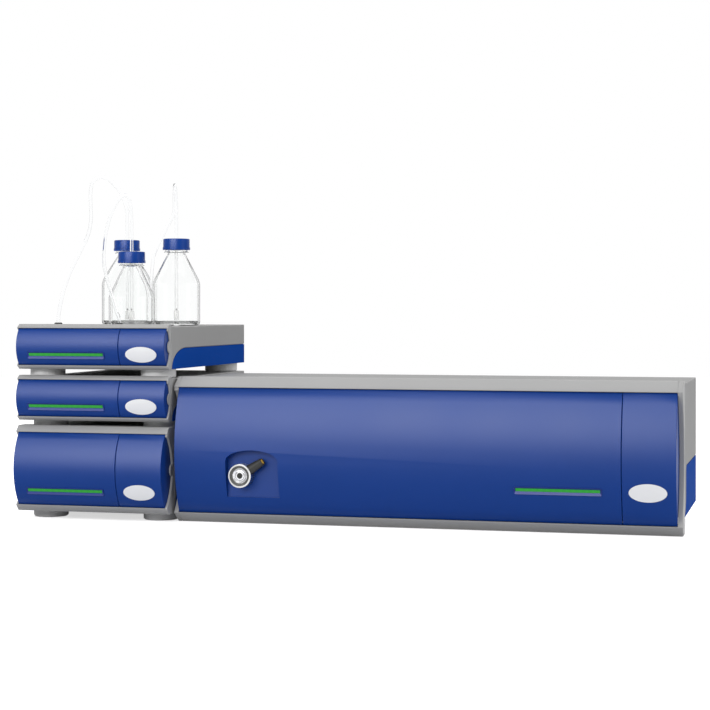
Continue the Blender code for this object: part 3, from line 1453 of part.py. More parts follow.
def main():
    pump = narrow_unit("pump", BENCH_GAP, PUMP_HEIGHT, SLIM_LIP - PUMP_LIP_FORWARD)
    pump_chamfer = (PUMP_CHAMFER_HEIGHT, PUMP_CHAMFER_DEPTH)
    pump.set_front(PUMP_WALL, pump_chamfer, PUMP_BEZEL_DEPTH, PUMP_BULGE, PUMP_HOLLOW)
    pump.set_body(STACK_BASE_RAISE, PUMP_SPLIT_HEIGHT, PUMP_SPLIT_RUN)
    fit_stack_panel(pump)
    light = (PUMP_LIGHT_FROM_LEFT, PUMP_LIGHT_RISE)
    pump_base = build_narrow_unit(pump, 0.0, PUMP_FOOT_INSET, light, PUMP_BADGE_RISE)
    build_pump_parts(pump, pump_base)

    degasser = narrow_unit("degasser", pump.top + PUMP_TO_DEGASSER, SLIM_HEIGHT, SLIM_LIP)
    organizer_low = degasser.top + DEGASSER_TO_ORGANIZER
    organizer = narrow_unit("organizer", organizer_low, SLIM_HEIGHT, SLIM_LIP)
    slim_chamfer = (SLIM_CHAMFER_HEIGHT, SLIM_CHAMFER_DEPTH)
    light = (SLIM_LIGHT_FROM_LEFT, SLIM_LIGHT_RISE)
    for unit, below in ((degasser, pump), (organizer, degasser)):
        unit.set_front(SLIM_WALL, slim_chamfer, SLIM_BEZEL_DEPTH, SLIM_BULGE, SLIM_HOLLOW)
        unit.set_body(STACK_BASE_RAISE, SLIM_SPLIT_HEIGHT, SLIM_SPLIT_RUN)
        fit_stack_panel(unit)
        rest = below.deck + SEAT_GAP
        build_narrow_unit(unit, rest, foot_inset(below), light, SLIM_BADGE_RISE)
    build_port_block(degasser, 3, 2)
    build_port_block(organizer, 3, 1)
    build_bottles(organizer.deck)

    lip = SLIM_LIP + WIDE_LIP_BACK
    back = lip + WIDE_DEPTH
    channel = Unit("channel", WIDE_LEFT, WIDE_WIDTH, WIDE_BEZEL_CLEARANCE, WIDE_HEIGHT, lip, back)
    wide_chamfer = (WIDE_CHAMFER_HEIGHT, WIDE_CHAMFER_DEPTH)
    channel.set_front(WIDE_WALL, wide_chamfer, WIDE_BEZEL_DEPTH, WIDE_BULGE, WIDE_HOLLOW)
    channel.set_body(WIDE_BASE_RAISE, WIDE_SPLIT_HEIGHT)
    channel.set_panel(WIDE_PANEL_SETBACK, WIDE_PANEL_LIP_GAP)
    channel.set_pivot(WIDE_PIVOT_BACK, WIDE_PIVOT_DOWN, WIDE_PIVOT_RADIUS)
    wide_base = build_wide_unit(channel)
    build_channel(channel, wide_base)
    build_wide_back(channel, wide_base)


clear_scene()
PARTS = new_collection("thermal_fractionation_system")
CUTTERS = new_collection("cutters")
main()
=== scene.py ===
import math

import bpy
from mathutils import Matrix, Vector


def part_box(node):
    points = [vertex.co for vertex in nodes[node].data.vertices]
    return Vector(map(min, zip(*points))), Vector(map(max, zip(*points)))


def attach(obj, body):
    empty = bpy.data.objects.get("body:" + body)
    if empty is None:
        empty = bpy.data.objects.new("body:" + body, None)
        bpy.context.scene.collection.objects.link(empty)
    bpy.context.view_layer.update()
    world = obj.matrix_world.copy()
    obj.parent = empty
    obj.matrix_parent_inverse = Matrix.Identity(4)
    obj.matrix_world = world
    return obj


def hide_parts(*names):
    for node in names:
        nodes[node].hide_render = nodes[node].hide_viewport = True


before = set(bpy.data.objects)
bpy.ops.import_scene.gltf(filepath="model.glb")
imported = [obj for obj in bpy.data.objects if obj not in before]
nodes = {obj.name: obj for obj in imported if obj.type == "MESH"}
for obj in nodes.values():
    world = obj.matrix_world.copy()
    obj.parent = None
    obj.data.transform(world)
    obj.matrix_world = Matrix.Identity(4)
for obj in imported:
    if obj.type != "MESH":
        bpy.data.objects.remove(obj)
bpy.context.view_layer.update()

# The camera looks at the fronts a little from the right, level with the bottles, through a long
# lens. The picture's centre lies below the lens axis, which is the small shift.
bpy.context.scene.view_settings.view_transform = "Standard"
bpy.ops.object.camera_add(
    location=(0.7345, -2.8883, 0.3441), rotation=(math.radians(90), 0.0, 0.253409)
)
camera = bpy.context.object
camera.name = "camera"
camera.data.sensor_width = 36.0
camera.data.lens = 91.59
camera.data.shift_y = -0.0677
bpy.context.scene.camera = camera

# The solvent tubes are clear fluoropolymer tubing, 5.5 mm across. Each comes up through its cap,
# arches over under its own stiffness and ends in a grommet on the deck. Routes are measured from
# the stack's right side, the front lip of its slim units and the deck.
STACK_RIGHT = -0.273
SLIM_LIP = -0.18495
DECK = 0.3125
SEAT_GAP = 0.0003
TUBE_RADIUS = 0.00275
RISE_FROM_CAP = 0.019
PORT_MOUTH = 0.0126
PORT_SEAT = 0.0026


def feed(tree, socket, source):
    """Links a socket to another one, or gives it a number, a vector or a colour."""
    if isinstance(source, bpy.types.NodeSocket):
        tree.links.new(source, socket)
    elif socket.type == "RGBA":
        socket.default_value = (*source, 1.0)
    else:
        socket.default_value = source


def object_place(tree):
    """The place of a point in its object's own coordinates."""
    return tree.nodes.new("ShaderNodeTexCoord").outputs["Object"]


def noise(tree, place, scale, detail):
    """A cloudy noise over a place."""
    cloud = tree.nodes.new("ShaderNodeTexNoise")
    for label, source in (("Vector", place), ("Scale", scale), ("Detail", detail)):
        feed(tree, cloud.inputs[label], source)
    return cloud.outputs["Fac"]


def ranged(tree, value, low, high, start=0.0, end=1.0, curve="LINEAR"):
    """Carries a value that runs from start to end over to low and high."""
    step = tree.nodes.new("ShaderNodeMapRange")
    step.interpolation_type = curve
    sources = {"Value": value, "From Min": start, "From Max": end, "To Min": low, "To Max": high}
    for label, source in sources.items():
        feed(tree, step.inputs[label], source)
    return step.outputs["Result"]


def blend(tree, share, first, second, kind="RGBA"):
    """Runs from the first colour or number to the second one as the share runs from 0 to 1."""
    step = tree.nodes.new("ShaderNodeMix")
    step.data_type = kind
    for label, source in (("Factor", share), ("A", first), ("B", second)):
        feed(tree, step.inputs[label], source)
    return step.outputs["Result"]


def clear(name, start, end, face_on, edge_on_shade):
    """A clear material, painted a second colour where its wall is seen edge on: a painted edge
    shade.
    """
    material = bpy.data.materials.new(name)
    material.use_nodes = True
    tree = material.node_tree
    shader = tree.nodes["Principled BSDF"]
    shader.inputs["IOR"].default_value = 1.20
    shader.inputs["Transmission Weight"].default_value = 1.0
    facing = tree.nodes.new("ShaderNodeLayerWeight").outputs["Facing"]
    edge = ranged(tree, facing, 0.0, 1.0, start, end)
    tree.links.new(blend(tree, edge, face_on, edge_on_shade), shader.inputs["Base Color"])
    return material


# Where its wall is seen edge on, the tubing is painted grey: a painted shade for its edge lines.
tube_material = clear("clear_tubing", 0.40, 0.85, (0.98, 0.985, 0.99), (0.42, 0.43, 0.44))
tube_tree = tube_material.node_tree
tube_haze = ranged(tube_tree, noise(tube_tree, object_place(tube_tree), 60.0, 3.0), 0.04, 0.18)
tube_tree.links.new(tube_haze, tube_tree.nodes["Principled BSDF"].inputs["Roughness"])

bottle_places = {
    "left": (-0.1826, 0.285, 0.149),
    "front": (-0.1176, 0.143, 0.124),
    "right": (-0.0576, 0.197, 0.1472),
}
tube_routes = {
    "left": [
        (-0.1832, 0.284, 0.206), (-0.1890, 0.278, 0.228), (-0.2020, 0.268, 0.249),
        (-0.2115, 0.258, 0.2575), (-0.2190, 0.248, 0.2585), (-0.2260, 0.236, 0.250),
        (-0.2263, 0.226, 0.235), (-0.2213, 0.214, 0.208), (-0.2160, 0.202, 0.182),
        (-0.2155, 0.188, 0.155), (-0.2206, 0.174, 0.132), (-0.2274, 0.160, 0.108),
        (-0.2342, 0.146, 0.081), (-0.2395, 0.134, 0.050), (-0.2412, 0.126, 0.025),
    ],
    "front": [
        (-0.1179, 0.142, 0.186), (-0.1196, 0.140, 0.206), (-0.1245, 0.137, 0.2185),
        (-0.1323, 0.132, 0.215), (-0.1434, 0.124, 0.194), (-0.1501, 0.114, 0.163),
        (-0.1504, 0.104, 0.135), (-0.1472, 0.094, 0.106), (-0.1408, 0.087, 0.085),
        (-0.1330, 0.081, 0.065), (-0.1239, 0.076, 0.043), (-0.1161, 0.072, 0.024),
    ],
    "right": [
        (-0.0582, 0.198, 0.201), (-0.0604, 0.202, 0.220), (-0.0646, 0.210, 0.2355),
        (-0.0694, 0.220, 0.2405), (-0.0734, 0.230, 0.2315), (-0.0766, 0.238, 0.2155),
        (-0.0800, 0.245, 0.194), (-0.0889, 0.250, 0.179), (-0.1018, 0.255, 0.160),
        (-0.1144, 0.259, 0.139), (-0.1230, 0.262, 0.122), (-0.1273, 0.265, 0.100),
        (-0.1294, 0.268, 0.070), (-0.1300, 0.270, 0.035),
    ],
}
grommet_places = {"left": (-0.2412, 0.122), "front": (-0.1112, 0.070), "right": (-0.1300, 0.270)}
for side, (right, back, height) in bottle_places.items():
    x = STACK_RIGHT + right
    y = SLIM_LIP + back
    cap_top = DECK + SEAT_GAP + height
    end_x = STACK_RIGHT + grommet_places[side][0]
    end_y = SLIM_LIP + grommet_places[side][1]
    route = [(x, y, cap_top), (x, y, cap_top + RISE_FROM_CAP)]
    route += [(STACK_RIGHT + u, SLIM_LIP + v, DECK + w) for u, v, w in tube_routes[side]]
    route += [(end_x, end_y, DECK + PORT_MOUTH), (end_x, end_y, DECK + PORT_SEAT)]
    line = bpy.data.curves.new("solvent_tube_" + side, "CURVE")
    line.dimensions = "3D"
    line.bevel_depth = TUBE_RADIUS
    line.bevel_resolution = 4
    line.use_fill_caps = True
    line.resolution_u = 6
    spline = line.splines.new("BEZIER")
    spline.bezier_points.add(len(route) - 1)
    for knot, place in zip(spline.bezier_points, route):
        knot.co = place
        knot.handle_left_type = "AUTO"
        knot.handle_right_type = "AUTO"
    solvent_tube = bpy.data.objects.new("solvent_tube_" + side, line)
    bpy.context.scene.collection.objects.link(solvent_tube)
    line.materials.append(tube_material)
    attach(solvent_tube, "frame")
    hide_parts("tube_" + side)

# The floor and the lights: a pale studio sweep, one broad lamp overhead, a long soft strip in
# front on the left, behind it a tall white screen that only the fronts, the light surrounds and
# the caps mirror, and a weak lamp at the right.
bpy.ops.object.select_all(action="DESELECT")
bpy.ops.mesh.primitive_circle_add(
    vertices=96, radius=6.0, fill_type="NGON", location=(0.0, 0.0, -0.0005)
)
floor = bpy.context.object
floor.name = "floor"


def calculate(tree, operation, first, second):
    """A Math node of two inputs, each a socket or a number."""
    step = tree.nodes.new("ShaderNodeMath")
    step.operation = operation
    feed(tree, step.inputs[0], first)
    feed(tree, step.inputs[1], second)
    return step.outputs["Value"]


def axes(tree, vector):
    """The X, Y and Z of a vector."""
    step = tree.nodes.new("ShaderNodeSeparateXYZ")
    tree.links.new(vector, step.inputs["Vector"])
    return step.outputs


def seen_share(tree):
    """One for what is seen, straight, through glass or in a gloss, and zero for diffuse light."""
    ray = tree.nodes.new("ShaderNodeLightPath").outputs
    straight = calculate(tree, "MAXIMUM", ray["Is Camera Ray"], ray["Is Transmission Ray"])
    return calculate(tree, "MAXIMUM", straight, ray["Is Glossy Ray"])


floor_material = bpy.data.materials.new("studio_floor")
floor_material.use_nodes = True
floor.data.materials.append(floor_material)
floor_tree = floor_material.node_tree
floor_shader = floor_tree.nodes["Principled BSDF"]
floor_shader.inputs["Roughness"].default_value = 1.0
floor_shader.inputs["Specular IOR Level"].default_value = 0.0
floor_shader.inputs["Emission Strength"].default_value = 1.0
floor_seen = seen_share(floor_tree)
floor_colour = blend(floor_tree, floor_seen, (0.55, 0.55, 0.56), (1.2, 1.2, 1.2))
floor_glow = blend(floor_tree, floor_seen, (0.0, 0.0, 0.0), (0.62, 0.62, 0.62))
floor_tree.links.new(floor_colour, floor_shader.inputs["Base Color"])
floor_tree.links.new(floor_glow, floor_shader.inputs["Emission Color"])

world = bpy.data.worlds.new("studio")
world.use_nodes = True
bpy.context.scene.world = world
world_tree = world.node_tree
world_place = world_tree.nodes.new("ShaderNodeTexCoord").outputs["Generated"]
world_height = axes(world_tree, world_place)["Z"]
sky_level = ranged(world_tree, world_height, 0.42, 0.62, -0.1, 0.9, "SMOOTHSTEP")
world_level = blend(world_tree, seen_share(world_tree), sky_level, 1.0, "FLOAT")
world_light = world_tree.nodes["Background"]
world_light.inputs["Color"].default_value = (1.0, 1.0, 1.0, 1.0)
world_tree.links.new(world_level, world_light.inputs["Strength"])

mirroring = bpy.data.collections.new("pieces_mirroring_screen")
for lamp_name, place, aim, size, watts in (
    ("lamp_overhead", (0.1, -0.2, 2.1), (0.0, 0.05, 0.15), (2.4, 1.4), 14.5),
    ("lamp_strip", (-0.75, -3.10, 1.45), (0.0, -0.1, 0.15), (3.0, 0.8), 48.0),
    ("lamp_screen", (-0.80, -3.40, 1.95), (0.0, -0.1, 0.15), (3.8, 3.6), 470.0),
    ("lamp_right", (2.6, -0.5, 0.9), (0.2, 0.0, 0.2), (1.0, 1.4), 11.0),
):
    bpy.ops.object.light_add(type="AREA", location=place)
    lamp = bpy.context.object
    lamp.name = lamp_name
    lamp.data.shape = "RECTANGLE"
    lamp.data.size, lamp.data.size_y = size
    lamp.data.energy = watts
    if lamp_name == "lamp_screen":
        lamp.visible_diffuse = False
        lamp.light_linking.receiver_collection = mirroring
    lamp.rotation_mode = "QUATERNION"
    lamp.rotation_quaternion = (Vector(aim) - Vector(place)).to_track_quat("-Z", "Y")

# The chassis are folded steel trays. Only their outer sides carry the blue paint of the fronts.
# The core behind is bare grey sheet, and the round feet, all that lies below a tray's bottom,
# are moulded in light grey rubber.


def node_group(name, inputs, outputs):
    """A new node group: the group, the sockets given to it, those it makes, and the place."""
    group = bpy.data.node_groups.new(name, "ShaderNodeTree")
    for in_out, sockets in (("INPUT", inputs), ("OUTPUT", outputs)):
        for label, kind in sockets.items():
            group.interface.new_socket(label, in_out=in_out, socket_type="NodeSocket" + kind)
    given = group.nodes.new("NodeGroupInput").outputs
    made = group.nodes.new("NodeGroupOutput").inputs
    return group, given, made, object_place(group)


grain, given, made, place = node_group(
    "coat_grain",
    {"Scale": "Float", "Rough": "Float", "Spread": "Float"},
    {"Height": "Float", "Roughness": "Float", "Tone": "Float"},
)
peel = noise(grain, place, given["Scale"], 2.0)
cloud = noise(grain, place, 9.0, 4.0)
cloud_rise = calculate(grain, "SUBTRACT", cloud, 0.5)
cloud_spread = calculate(grain, "MULTIPLY", cloud_rise, given["Spread"])
cloud_rough = calculate(grain, "ADD", cloud_spread, given["Rough"])
grain.links.new(peel, made["Height"])
grain.links.new(cloud_rough, made["Roughness"])
grain.links.new(ranged(grain, cloud, 0.94, 1.05), made["Tone"])

PAINT_DEPTH = 0.0012
TRAY_MARGIN = 0.0001
zones, given, made, place = node_group(
    "chassis_zones",
    {"Left": "Float", "Right": "Float", "Floor": "Float"},
    {"Paint": "Float", "Foot": "Float"},
)
point = axes(zones, place)
left_skin = calculate(zones, "SUBTRACT", point["X"], given["Left"])
right_skin = calculate(zones, "SUBTRACT", given["Right"], point["X"])
nearer_skin = calculate(zones, "MINIMUM", left_skin, right_skin)
skin = calculate(zones, "LESS_THAN", nearer_skin, PAINT_DEPTH)
above = calculate(zones, "SUBTRACT", point["Z"], given["Floor"])
on_tray = calculate(zones, "GREATER_THAN", above, -TRAY_MARGIN)
below_tray = calculate(zones, "LESS_THAN", above, -2 * TRAY_MARGIN)
zones.links.new(calculate(zones, "MULTIPLY", skin, on_tray), made["Paint"])
zones.links.new(below_tray, made["Foot"])


def use_group(tree, group, values):
    """Puts a node group with its values into a material, and gives its outputs."""
    node = tree.nodes.new("ShaderNodeGroup")
    node.node_tree = group
    node.name = group.name
    for label, value in values.items():
        node.inputs[label].default_value = value
    return node.outputs


def coated(name, colour, rough, spread, grain_scale, grain_depth, metallic=0.0, specular=0.5):
    """A coated or moulded finish: one colour, clouded a little, with a fine grain."""
    material = bpy.data.materials.new(name)
    material.use_nodes = True
    tree = material.node_tree
    shader = tree.nodes["Principled BSDF"]
    shader.inputs["Metallic"].default_value = metallic
    shader.inputs["Specular IOR Level"].default_value = specular
    coat = use_group(tree, grain, {"Scale": grain_scale, "Rough": rough, "Spread": spread})
    tone = tree.nodes.new("ShaderNodeMix")
    tone.data_type = "RGBA"
    tone.blend_type = "MULTIPLY"
    tone.inputs["Factor"].default_value = 1.0
    tone.inputs["A"].default_value = (*colour, 1.0)
    bump = tree.nodes.new("ShaderNodeBump")
    bump.name = "bump"
    bump.inputs["Strength"].default_value = 0.35
    bump.inputs["Distance"].default_value = grain_depth
    tree.links.new(coat["Tone"], tone.inputs["B"])
    tree.links.new(tone.outputs["Result"], shader.inputs["Base Color"])
    tree.links.new(coat["Roughness"], shader.inputs["Roughness"])
    tree.links.new(coat["Height"], bump.inputs["Height"])
    tree.links.new(bump.outputs["Normal"], shader.inputs["Normal"])
    return material


def tint(material, mask, colour, amount):
    """Lays a second colour over a coated finish where a mask says."""
    tree = material.node_tree
    base = tree.nodes["Principled BSDF"].inputs["Base Color"]
    share = calculate(tree, "MULTIPLY", mask, amount)
    tree.links.new(blend(tree, share, base.links[0].from_socket, colour), base)


def finish_node(name, material, smooth_below=35.0):
    """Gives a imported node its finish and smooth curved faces."""
    node = nodes[name]
    bpy.ops.object.select_all(action="DESELECT")
    node.select_set(True)
    bpy.context.view_layer.objects.active = node
    bpy.ops.object.shade_smooth()
    weld = node.modifiers.new("weld", "WELD")
    weld.merge_threshold = 0.00001
    split = node.modifiers.new("split", "EDGE_SPLIT")
    split.split_angle = math.radians(smooth_below)
    split.use_edge_sharp = False
    node.data.materials.clear()
    node.data.materials.append(material)


tray_bottoms = {"pump": 0.0146, "degasser": 0.1614, "organizer": 0.2444, "channel": 0.0263}
for unit, low in tray_bottoms.items():
    chassis = coated(
        unit + "_chassis", (0.33, 0.335, 0.34),
        rough=0.70, spread=0.12, grain_scale=1100.0, grain_depth=0.00006, specular=0.012,
    )
    left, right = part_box(unit + "_base")[0][0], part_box(unit + "_base")[1][0]
    zone = use_group(chassis.node_tree, zones, {"Left": left, "Right": right, "Floor": low})
    tint(chassis, zone["Paint"], (0.0045, 0.060, 0.345), 1.0)
    tint(chassis, zone["Foot"], (0.78, 0.78, 0.78), 1.0)
    finish_node(unit + "_base", chassis)

# The hoods are folded steel covers in grey powder coat with a fine orange-peel grain. Along the
# folded edges the coat is painted lighter in patches: painted edge highlight and handling wear.


def combine(tree, operation, first, second):
    """A Vector Math node of two inputs, each a socket or a vector."""
    step = tree.nodes.new("ShaderNodeVectorMath")
    step.operation = operation
    feed(tree, step.inputs[0], first)
    feed(tree, step.inputs[1], second)
    return step.outputs["Vector"]


# The edge mask: close to a box's edges, broken into patches. It lays a painted edge highlight
# along with rubbing.
rub_and_highlight, given, made, place = node_group(
    "edge_rub_and_highlight", {"Low": "Vector", "High": "Vector", "Width": "Float"}, {"Mask": "Float"}
)
above_low = combine(rub_and_highlight, "SUBTRACT", place, given["Low"])
below_high = combine(rub_and_highlight, "SUBTRACT", given["High"], place)
near = axes(rub_and_highlight, combine(rub_and_highlight, "MINIMUM", above_low, below_high))
smaller = calculate(rub_and_highlight, "MINIMUM", near["X"], near["Y"])
larger = calculate(rub_and_highlight, "MAXIMUM", near["X"], near["Y"])
second = calculate(rub_and_highlight, "MAXIMUM", smaller, calculate(rub_and_highlight, "MINIMUM", larger, near["Z"]))
close = ranged(rub_and_highlight, second, 1.0, 0.0, 0.0, given["Width"], "SMOOTHSTEP")
patches = ranged(rub_and_highlight, noise(rub_and_highlight, place, 32.0, 5.0), 0.0, 1.0, 0.40, 0.66)
rub_and_highlight.links.new(calculate(rub_and_highlight, "MULTIPLY", close, patches), made["Mask"])


def rubbed_and_highlit(material, node, width, colour, amount):
    """Paints a coated finish lighter along the edges of a node's box, in patches: painted edge
    highlight and rubbing.
    """
    low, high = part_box(node)
    wear_and_highlight = use_group(material.node_tree, rub_and_highlight, {"Low": low, "High": high, "Width": width})
    tint(material, wear_and_highlight["Mask"], colour, amount)


for unit in tray_bottoms:
    hood_powder = coated(
        unit + "_hood_powder", (0.37, 0.37, 0.37),
        rough=0.66, spread=0.12, grain_scale=900.0, grain_depth=0.0001, specular=0.04,
    )
    # Painted edge highlight, partly handling wear: the hood's edges are painted lighter in
    # patches.
    rubbed_and_highlit(hood_powder, unit + "_hood", 0.0035, (0.55, 0.55, 0.55), 0.5)
    finish_node(unit + "_hood", hood_powder)

# The bezels are moulded frames in a slightly lighter grey satin lacquer, one round each front.
# Their chamfered bands lead to thin lips, painted lighter in patches along the edges: a painted
# highlight.
for unit in tray_bottoms:
    bezel_satin = coated(
        unit + "_bezel_satin", (0.38, 0.38, 0.38),
        rough=0.46, spread=0.10, grain_scale=1200.0, grain_depth=0.00006, specular=0.16,
    )
    # Painted highlight: the bezel's edges and lips are painted lighter.
    rubbed_and_highlit(bezel_satin, unit + "_bezel", 0.0025, (0.60, 0.60, 0.60), 0.6)
    finish_node(unit + "_bezel", bezel_satin)

# The fronts are pressed panels in deep blue lacquer. Their bulge mirrors the white screen as one
# long soft band, and a faint haze of fingerprints and wiping breaks the gloss.
panel_lacquer = coated(
    "panel_lacquer", (0.0030, 0.040, 0.235),
    rough=0.38, spread=0.10, grain_scale=1500.0, grain_depth=0.00003, specular=0.13,
)
for panel in (
    "pump_front_panel", "pump_flap", "degasser_front_panel", "degasser_flap",
    "organizer_front_panel", "organizer_flap", "channel_door", "channel_end_panel",
):
    finish_node(panel, panel_lacquer)
    mirroring.objects.link(nodes[panel])

# The status lights are bars of translucent green acrylic, pushed into slots of the panels from
# behind. A row of diodes behind each shows as faint brighter spots along the bar.
DIODE_PITCH = 0.01
light_acrylic = coated(
    "light_acrylic", (0.02, 0.30, 0.03),
    rough=0.30, spread=0.05, grain_scale=300.0, grain_depth=0.00002, specular=0.2,
)
light_tree = light_acrylic.node_tree
light_shader = light_tree.nodes["Principled BSDF"]
light_shader.inputs["Emission Strength"].default_value = 0.15
along = axes(light_tree, object_place(light_tree))["X"]
diode_turn = calculate(light_tree, "MULTIPLY", along, 2 * math.pi / DIODE_PITCH)
diode_wave = calculate(light_tree, "SINE", diode_turn, 0.0)
diode_share = ranged(light_tree, diode_wave, 0.0, 1.0, -1.0, 1.0)
diode_colour = blend(light_tree, diode_share, (0.02, 0.34, 0.04), (0.06, 0.50, 0.08))
light_tree.links.new(diode_colour, light_shader.inputs["Emission Color"])
for unit in tray_bottoms:
    finish_node(unit + "_status_light", light_acrylic)

# Each light sits in a moulded surround of the panel's blue, pressed on round the bar. Its faces
# slope in to the bar, so the tall lower one catches the light and the upper one lies in shade.
LIP_CORNER = 0.0023
LIP_SIDE = 0.0024
LIP_BELOW = 0.0042
LIP_PROUD = 0.0018
LIP_ROOM = 0.0002
lip_plastic = coated(
    "lip_plastic", (0.022, 0.045, 0.24),
    rough=0.40, spread=0.10, grain_scale=900.0, grain_depth=0.00004, specular=0.16,
)
for unit in tray_bottoms:
    panel = nodes["channel_door" if unit == "channel" else unit + "_front_panel"]
    low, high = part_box(unit + "_status_light")
    lip_low = low[2] - LIP_ROOM - LIP_BELOW
    lip_high = high[2] + LIP_ROOM + LIP_SIDE
    edges = [
        panel.ray_cast((low[0] - 2 * LIP_SIDE, -1.0, z), (0.0, 1.0, 0.0))[1]
        for z in (lip_low, lip_high)
    ]
    lean = math.atan2(edges[1].y - edges[0].y, edges[1].z - edges[0].z)
    middle = (edges[0] + edges[1]) / 2
    outward = Vector((0.0, -math.cos(lean), math.sin(lean)))
    bpy.ops.object.select_all(action="DESELECT")
    bpy.ops.mesh.primitive_plane_add(
        size=1.0,
        location=((low[0] + high[0]) / 2, middle.y, middle.z),
        rotation=(math.pi / 2 - lean, 0.0, 0.0),
    )
    lip = bpy.context.object
    lip.name = lip.data.name = unit + "_light_lip"
    lip.scale = (high[0] - low[0] + 2 * (LIP_ROOM + LIP_SIDE), lip_high - lip_low, 1.0)
    bpy.ops.object.transform_apply(location=True, rotation=True, scale=True)
    bpy.ops.object.mode_set(mode="EDIT")
    bpy.ops.mesh.select_all(action="SELECT")
    bpy.ops.mesh.bevel(offset=LIP_CORNER, segments=5, affect="VERTICES")
    bpy.ops.mesh.extrude_region_move(TRANSFORM_OT_translate={"value": outward * LIP_PROUD})
    bpy.ops.mesh.inset(thickness=LIP_SIDE, depth=-LIP_PROUD)
    bpy.ops.mesh.delete(type="FACE")
    bpy.ops.object.mode_set(mode="OBJECT")
    # The lower side of the opening is raised, which makes the lower face the tall one.
    for vertex in lip.data.vertices:
        inside = low[0] - 2 * LIP_ROOM < vertex.co.x < high[0] + 2 * LIP_ROOM
        if inside and lip_low + 0.8 * LIP_SIDE < vertex.co.z < (lip_low + lip_high) / 2:
            vertex.co.z += LIP_BELOW - LIP_SIDE
            vertex.co.y += (LIP_BELOW - LIP_SIDE) * math.tan(lean)
    # The flat faces that lie along the panel go, and the two open loops are joined at the back.
    bpy.ops.object.mode_set(mode="EDIT")
    bpy.ops.mesh.select_all(action="DESELECT")
    bpy.ops.object.mode_set(mode="OBJECT")
    for face in lip.data.polygons:
        face.select = abs(face.normal.dot(outward)) > 0.99
    bpy.ops.object.mode_set(mode="EDIT")
    bpy.ops.mesh.delete(type="ONLY_FACE")
    bpy.ops.mesh.select_all(action="DESELECT")
    bpy.ops.mesh.select_mode(type="EDGE")
    bpy.ops.mesh.select_non_manifold()
    bpy.ops.mesh.bridge_edge_loops()
    bpy.ops.mesh.select_all(action="SELECT")
    bpy.ops.mesh.normals_make_consistent(inside=False)
    bpy.ops.object.mode_set(mode="OBJECT")
    bpy.ops.object.shade_smooth_by_angle(angle=math.radians(20))
    lip.data.materials.append(lip_plastic)
    mirroring.objects.link(lip)
    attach(lip, "door_body" if unit == "channel" else "frame")

# The badges are oval plates of white glossy plastic, bent to the panel and stuck on. They are
# bare, with a faint pearly tone.
badge_gloss = coated(
    "badge_gloss", (0.86, 0.87, 0.89),
    rough=0.18, spread=0.05, grain_scale=200.0, grain_depth=0.00001,
)
for unit in tray_bottoms:
    finish_node(unit + "_badge", badge_gloss)

# The channel: a copper-faced hot block over a spacer film on an aluminium cold block, clamped by
# two steel bars. All are milled, and the cutter's fine lines run along them.
brush, given, made, place = node_group(
    "milled_lines", {"Stretch": "Vector"}, {"Height": "Float", "Streak": "Float"}
)
cuts = noise(brush, combine(brush, "MULTIPLY", place, given["Stretch"]), 1.0, 4.0)
brush.links.new(cuts, made["Height"])
brush.links.new(ranged(brush, cuts, 0.22, 0.48), made["Streak"])


def machined(name, colour, marks, values):
    """A bare metal that shows its cutter's marks, as a node group lays them."""
    material = coated(
        name, colour, rough=0.3, spread=0.1, grain_scale=400.0, grain_depth=0.00002, metallic=1.0
    )
    tree = material.node_tree
    cut = use_group(tree, marks, values)
    tree.links.new(cut["Height"], tree.nodes["bump"].inputs["Height"])
    tree.links.new(cut["Streak"], tree.nodes["Principled BSDF"].inputs["Roughness"])
    return material


along_block = {"Stretch": (8.0, 900.0, 900.0)}
along_bar = {"Stretch": (10.0, 1100.0, 1100.0)}
finish_node("channel_hot_block", machined("block_copper", (0.62, 0.34, 0.24), brush, along_block))
finish_node("channel_cold_block", machined("block_alloy", (0.46, 0.47, 0.49), brush, along_block))
clamp_steel = machined("clamp_steel", (0.38, 0.38, 0.39), brush, along_bar)
for node in ("clamp_bar_front", "clamp_bar_back", "heater_cartridges"):
    finish_node(node, clamp_steel)
spacer_film = coated(
    "spacer_film", (0.60, 0.36, 0.06),
    rough=0.25, spread=0.05, grain_scale=300.0, grain_depth=0.00001,
)
finish_node("channel_spacer", spacer_film)

# The injection valve: a turned stainless body and hub, a black polymer ring round the needle port,
# and a dark lever with a brass end. The lathe's rings show on every turned face. On the port's
# face a darker ring is painted as the shade of a fine grooved cut, and a dark disc as the painted
# shade in its bored hole.
VALVE_CENTRE = (-0.151, 0.0, 0.079)
BORE_SHADE_RADIUS = 0.0046
GROOVE_SHADE_INSIDE = 0.0064
GROOVE_SHADE_OUTSIDE = 0.0080
lathe, given, made, place = node_group(
    "lathe_rings",
    {"Centre": "Vector"},
    {"Height": "Float", "Streak": "Float", "Distance": "Float"},
)
from_centre = combine(lathe, "SUBTRACT", place, given["Centre"])
from_axis = combine(lathe, "MULTIPLY", from_centre, (1.0, 0.0, 1.0))
reach = lathe.nodes.new("ShaderNodeVectorMath")
reach.operation = "LENGTH"
rings = lathe.nodes.new("ShaderNodeTexNoise")
rings.noise_dimensions = "1D"
rings.inputs["Scale"].default_value = 5000.0
rings.inputs["Detail"].default_value = 2.0
lathe.links.new(from_axis, reach.inputs[0])
lathe.links.new(reach.outputs["Value"], rings.inputs["W"])
lathe.links.new(rings.outputs["Fac"], made["Height"])
lathe.links.new(ranged(lathe, rings.outputs["Fac"], 0.14, 0.40), made["Streak"])
lathe.links.new(reach.outputs["Value"], made["Distance"])

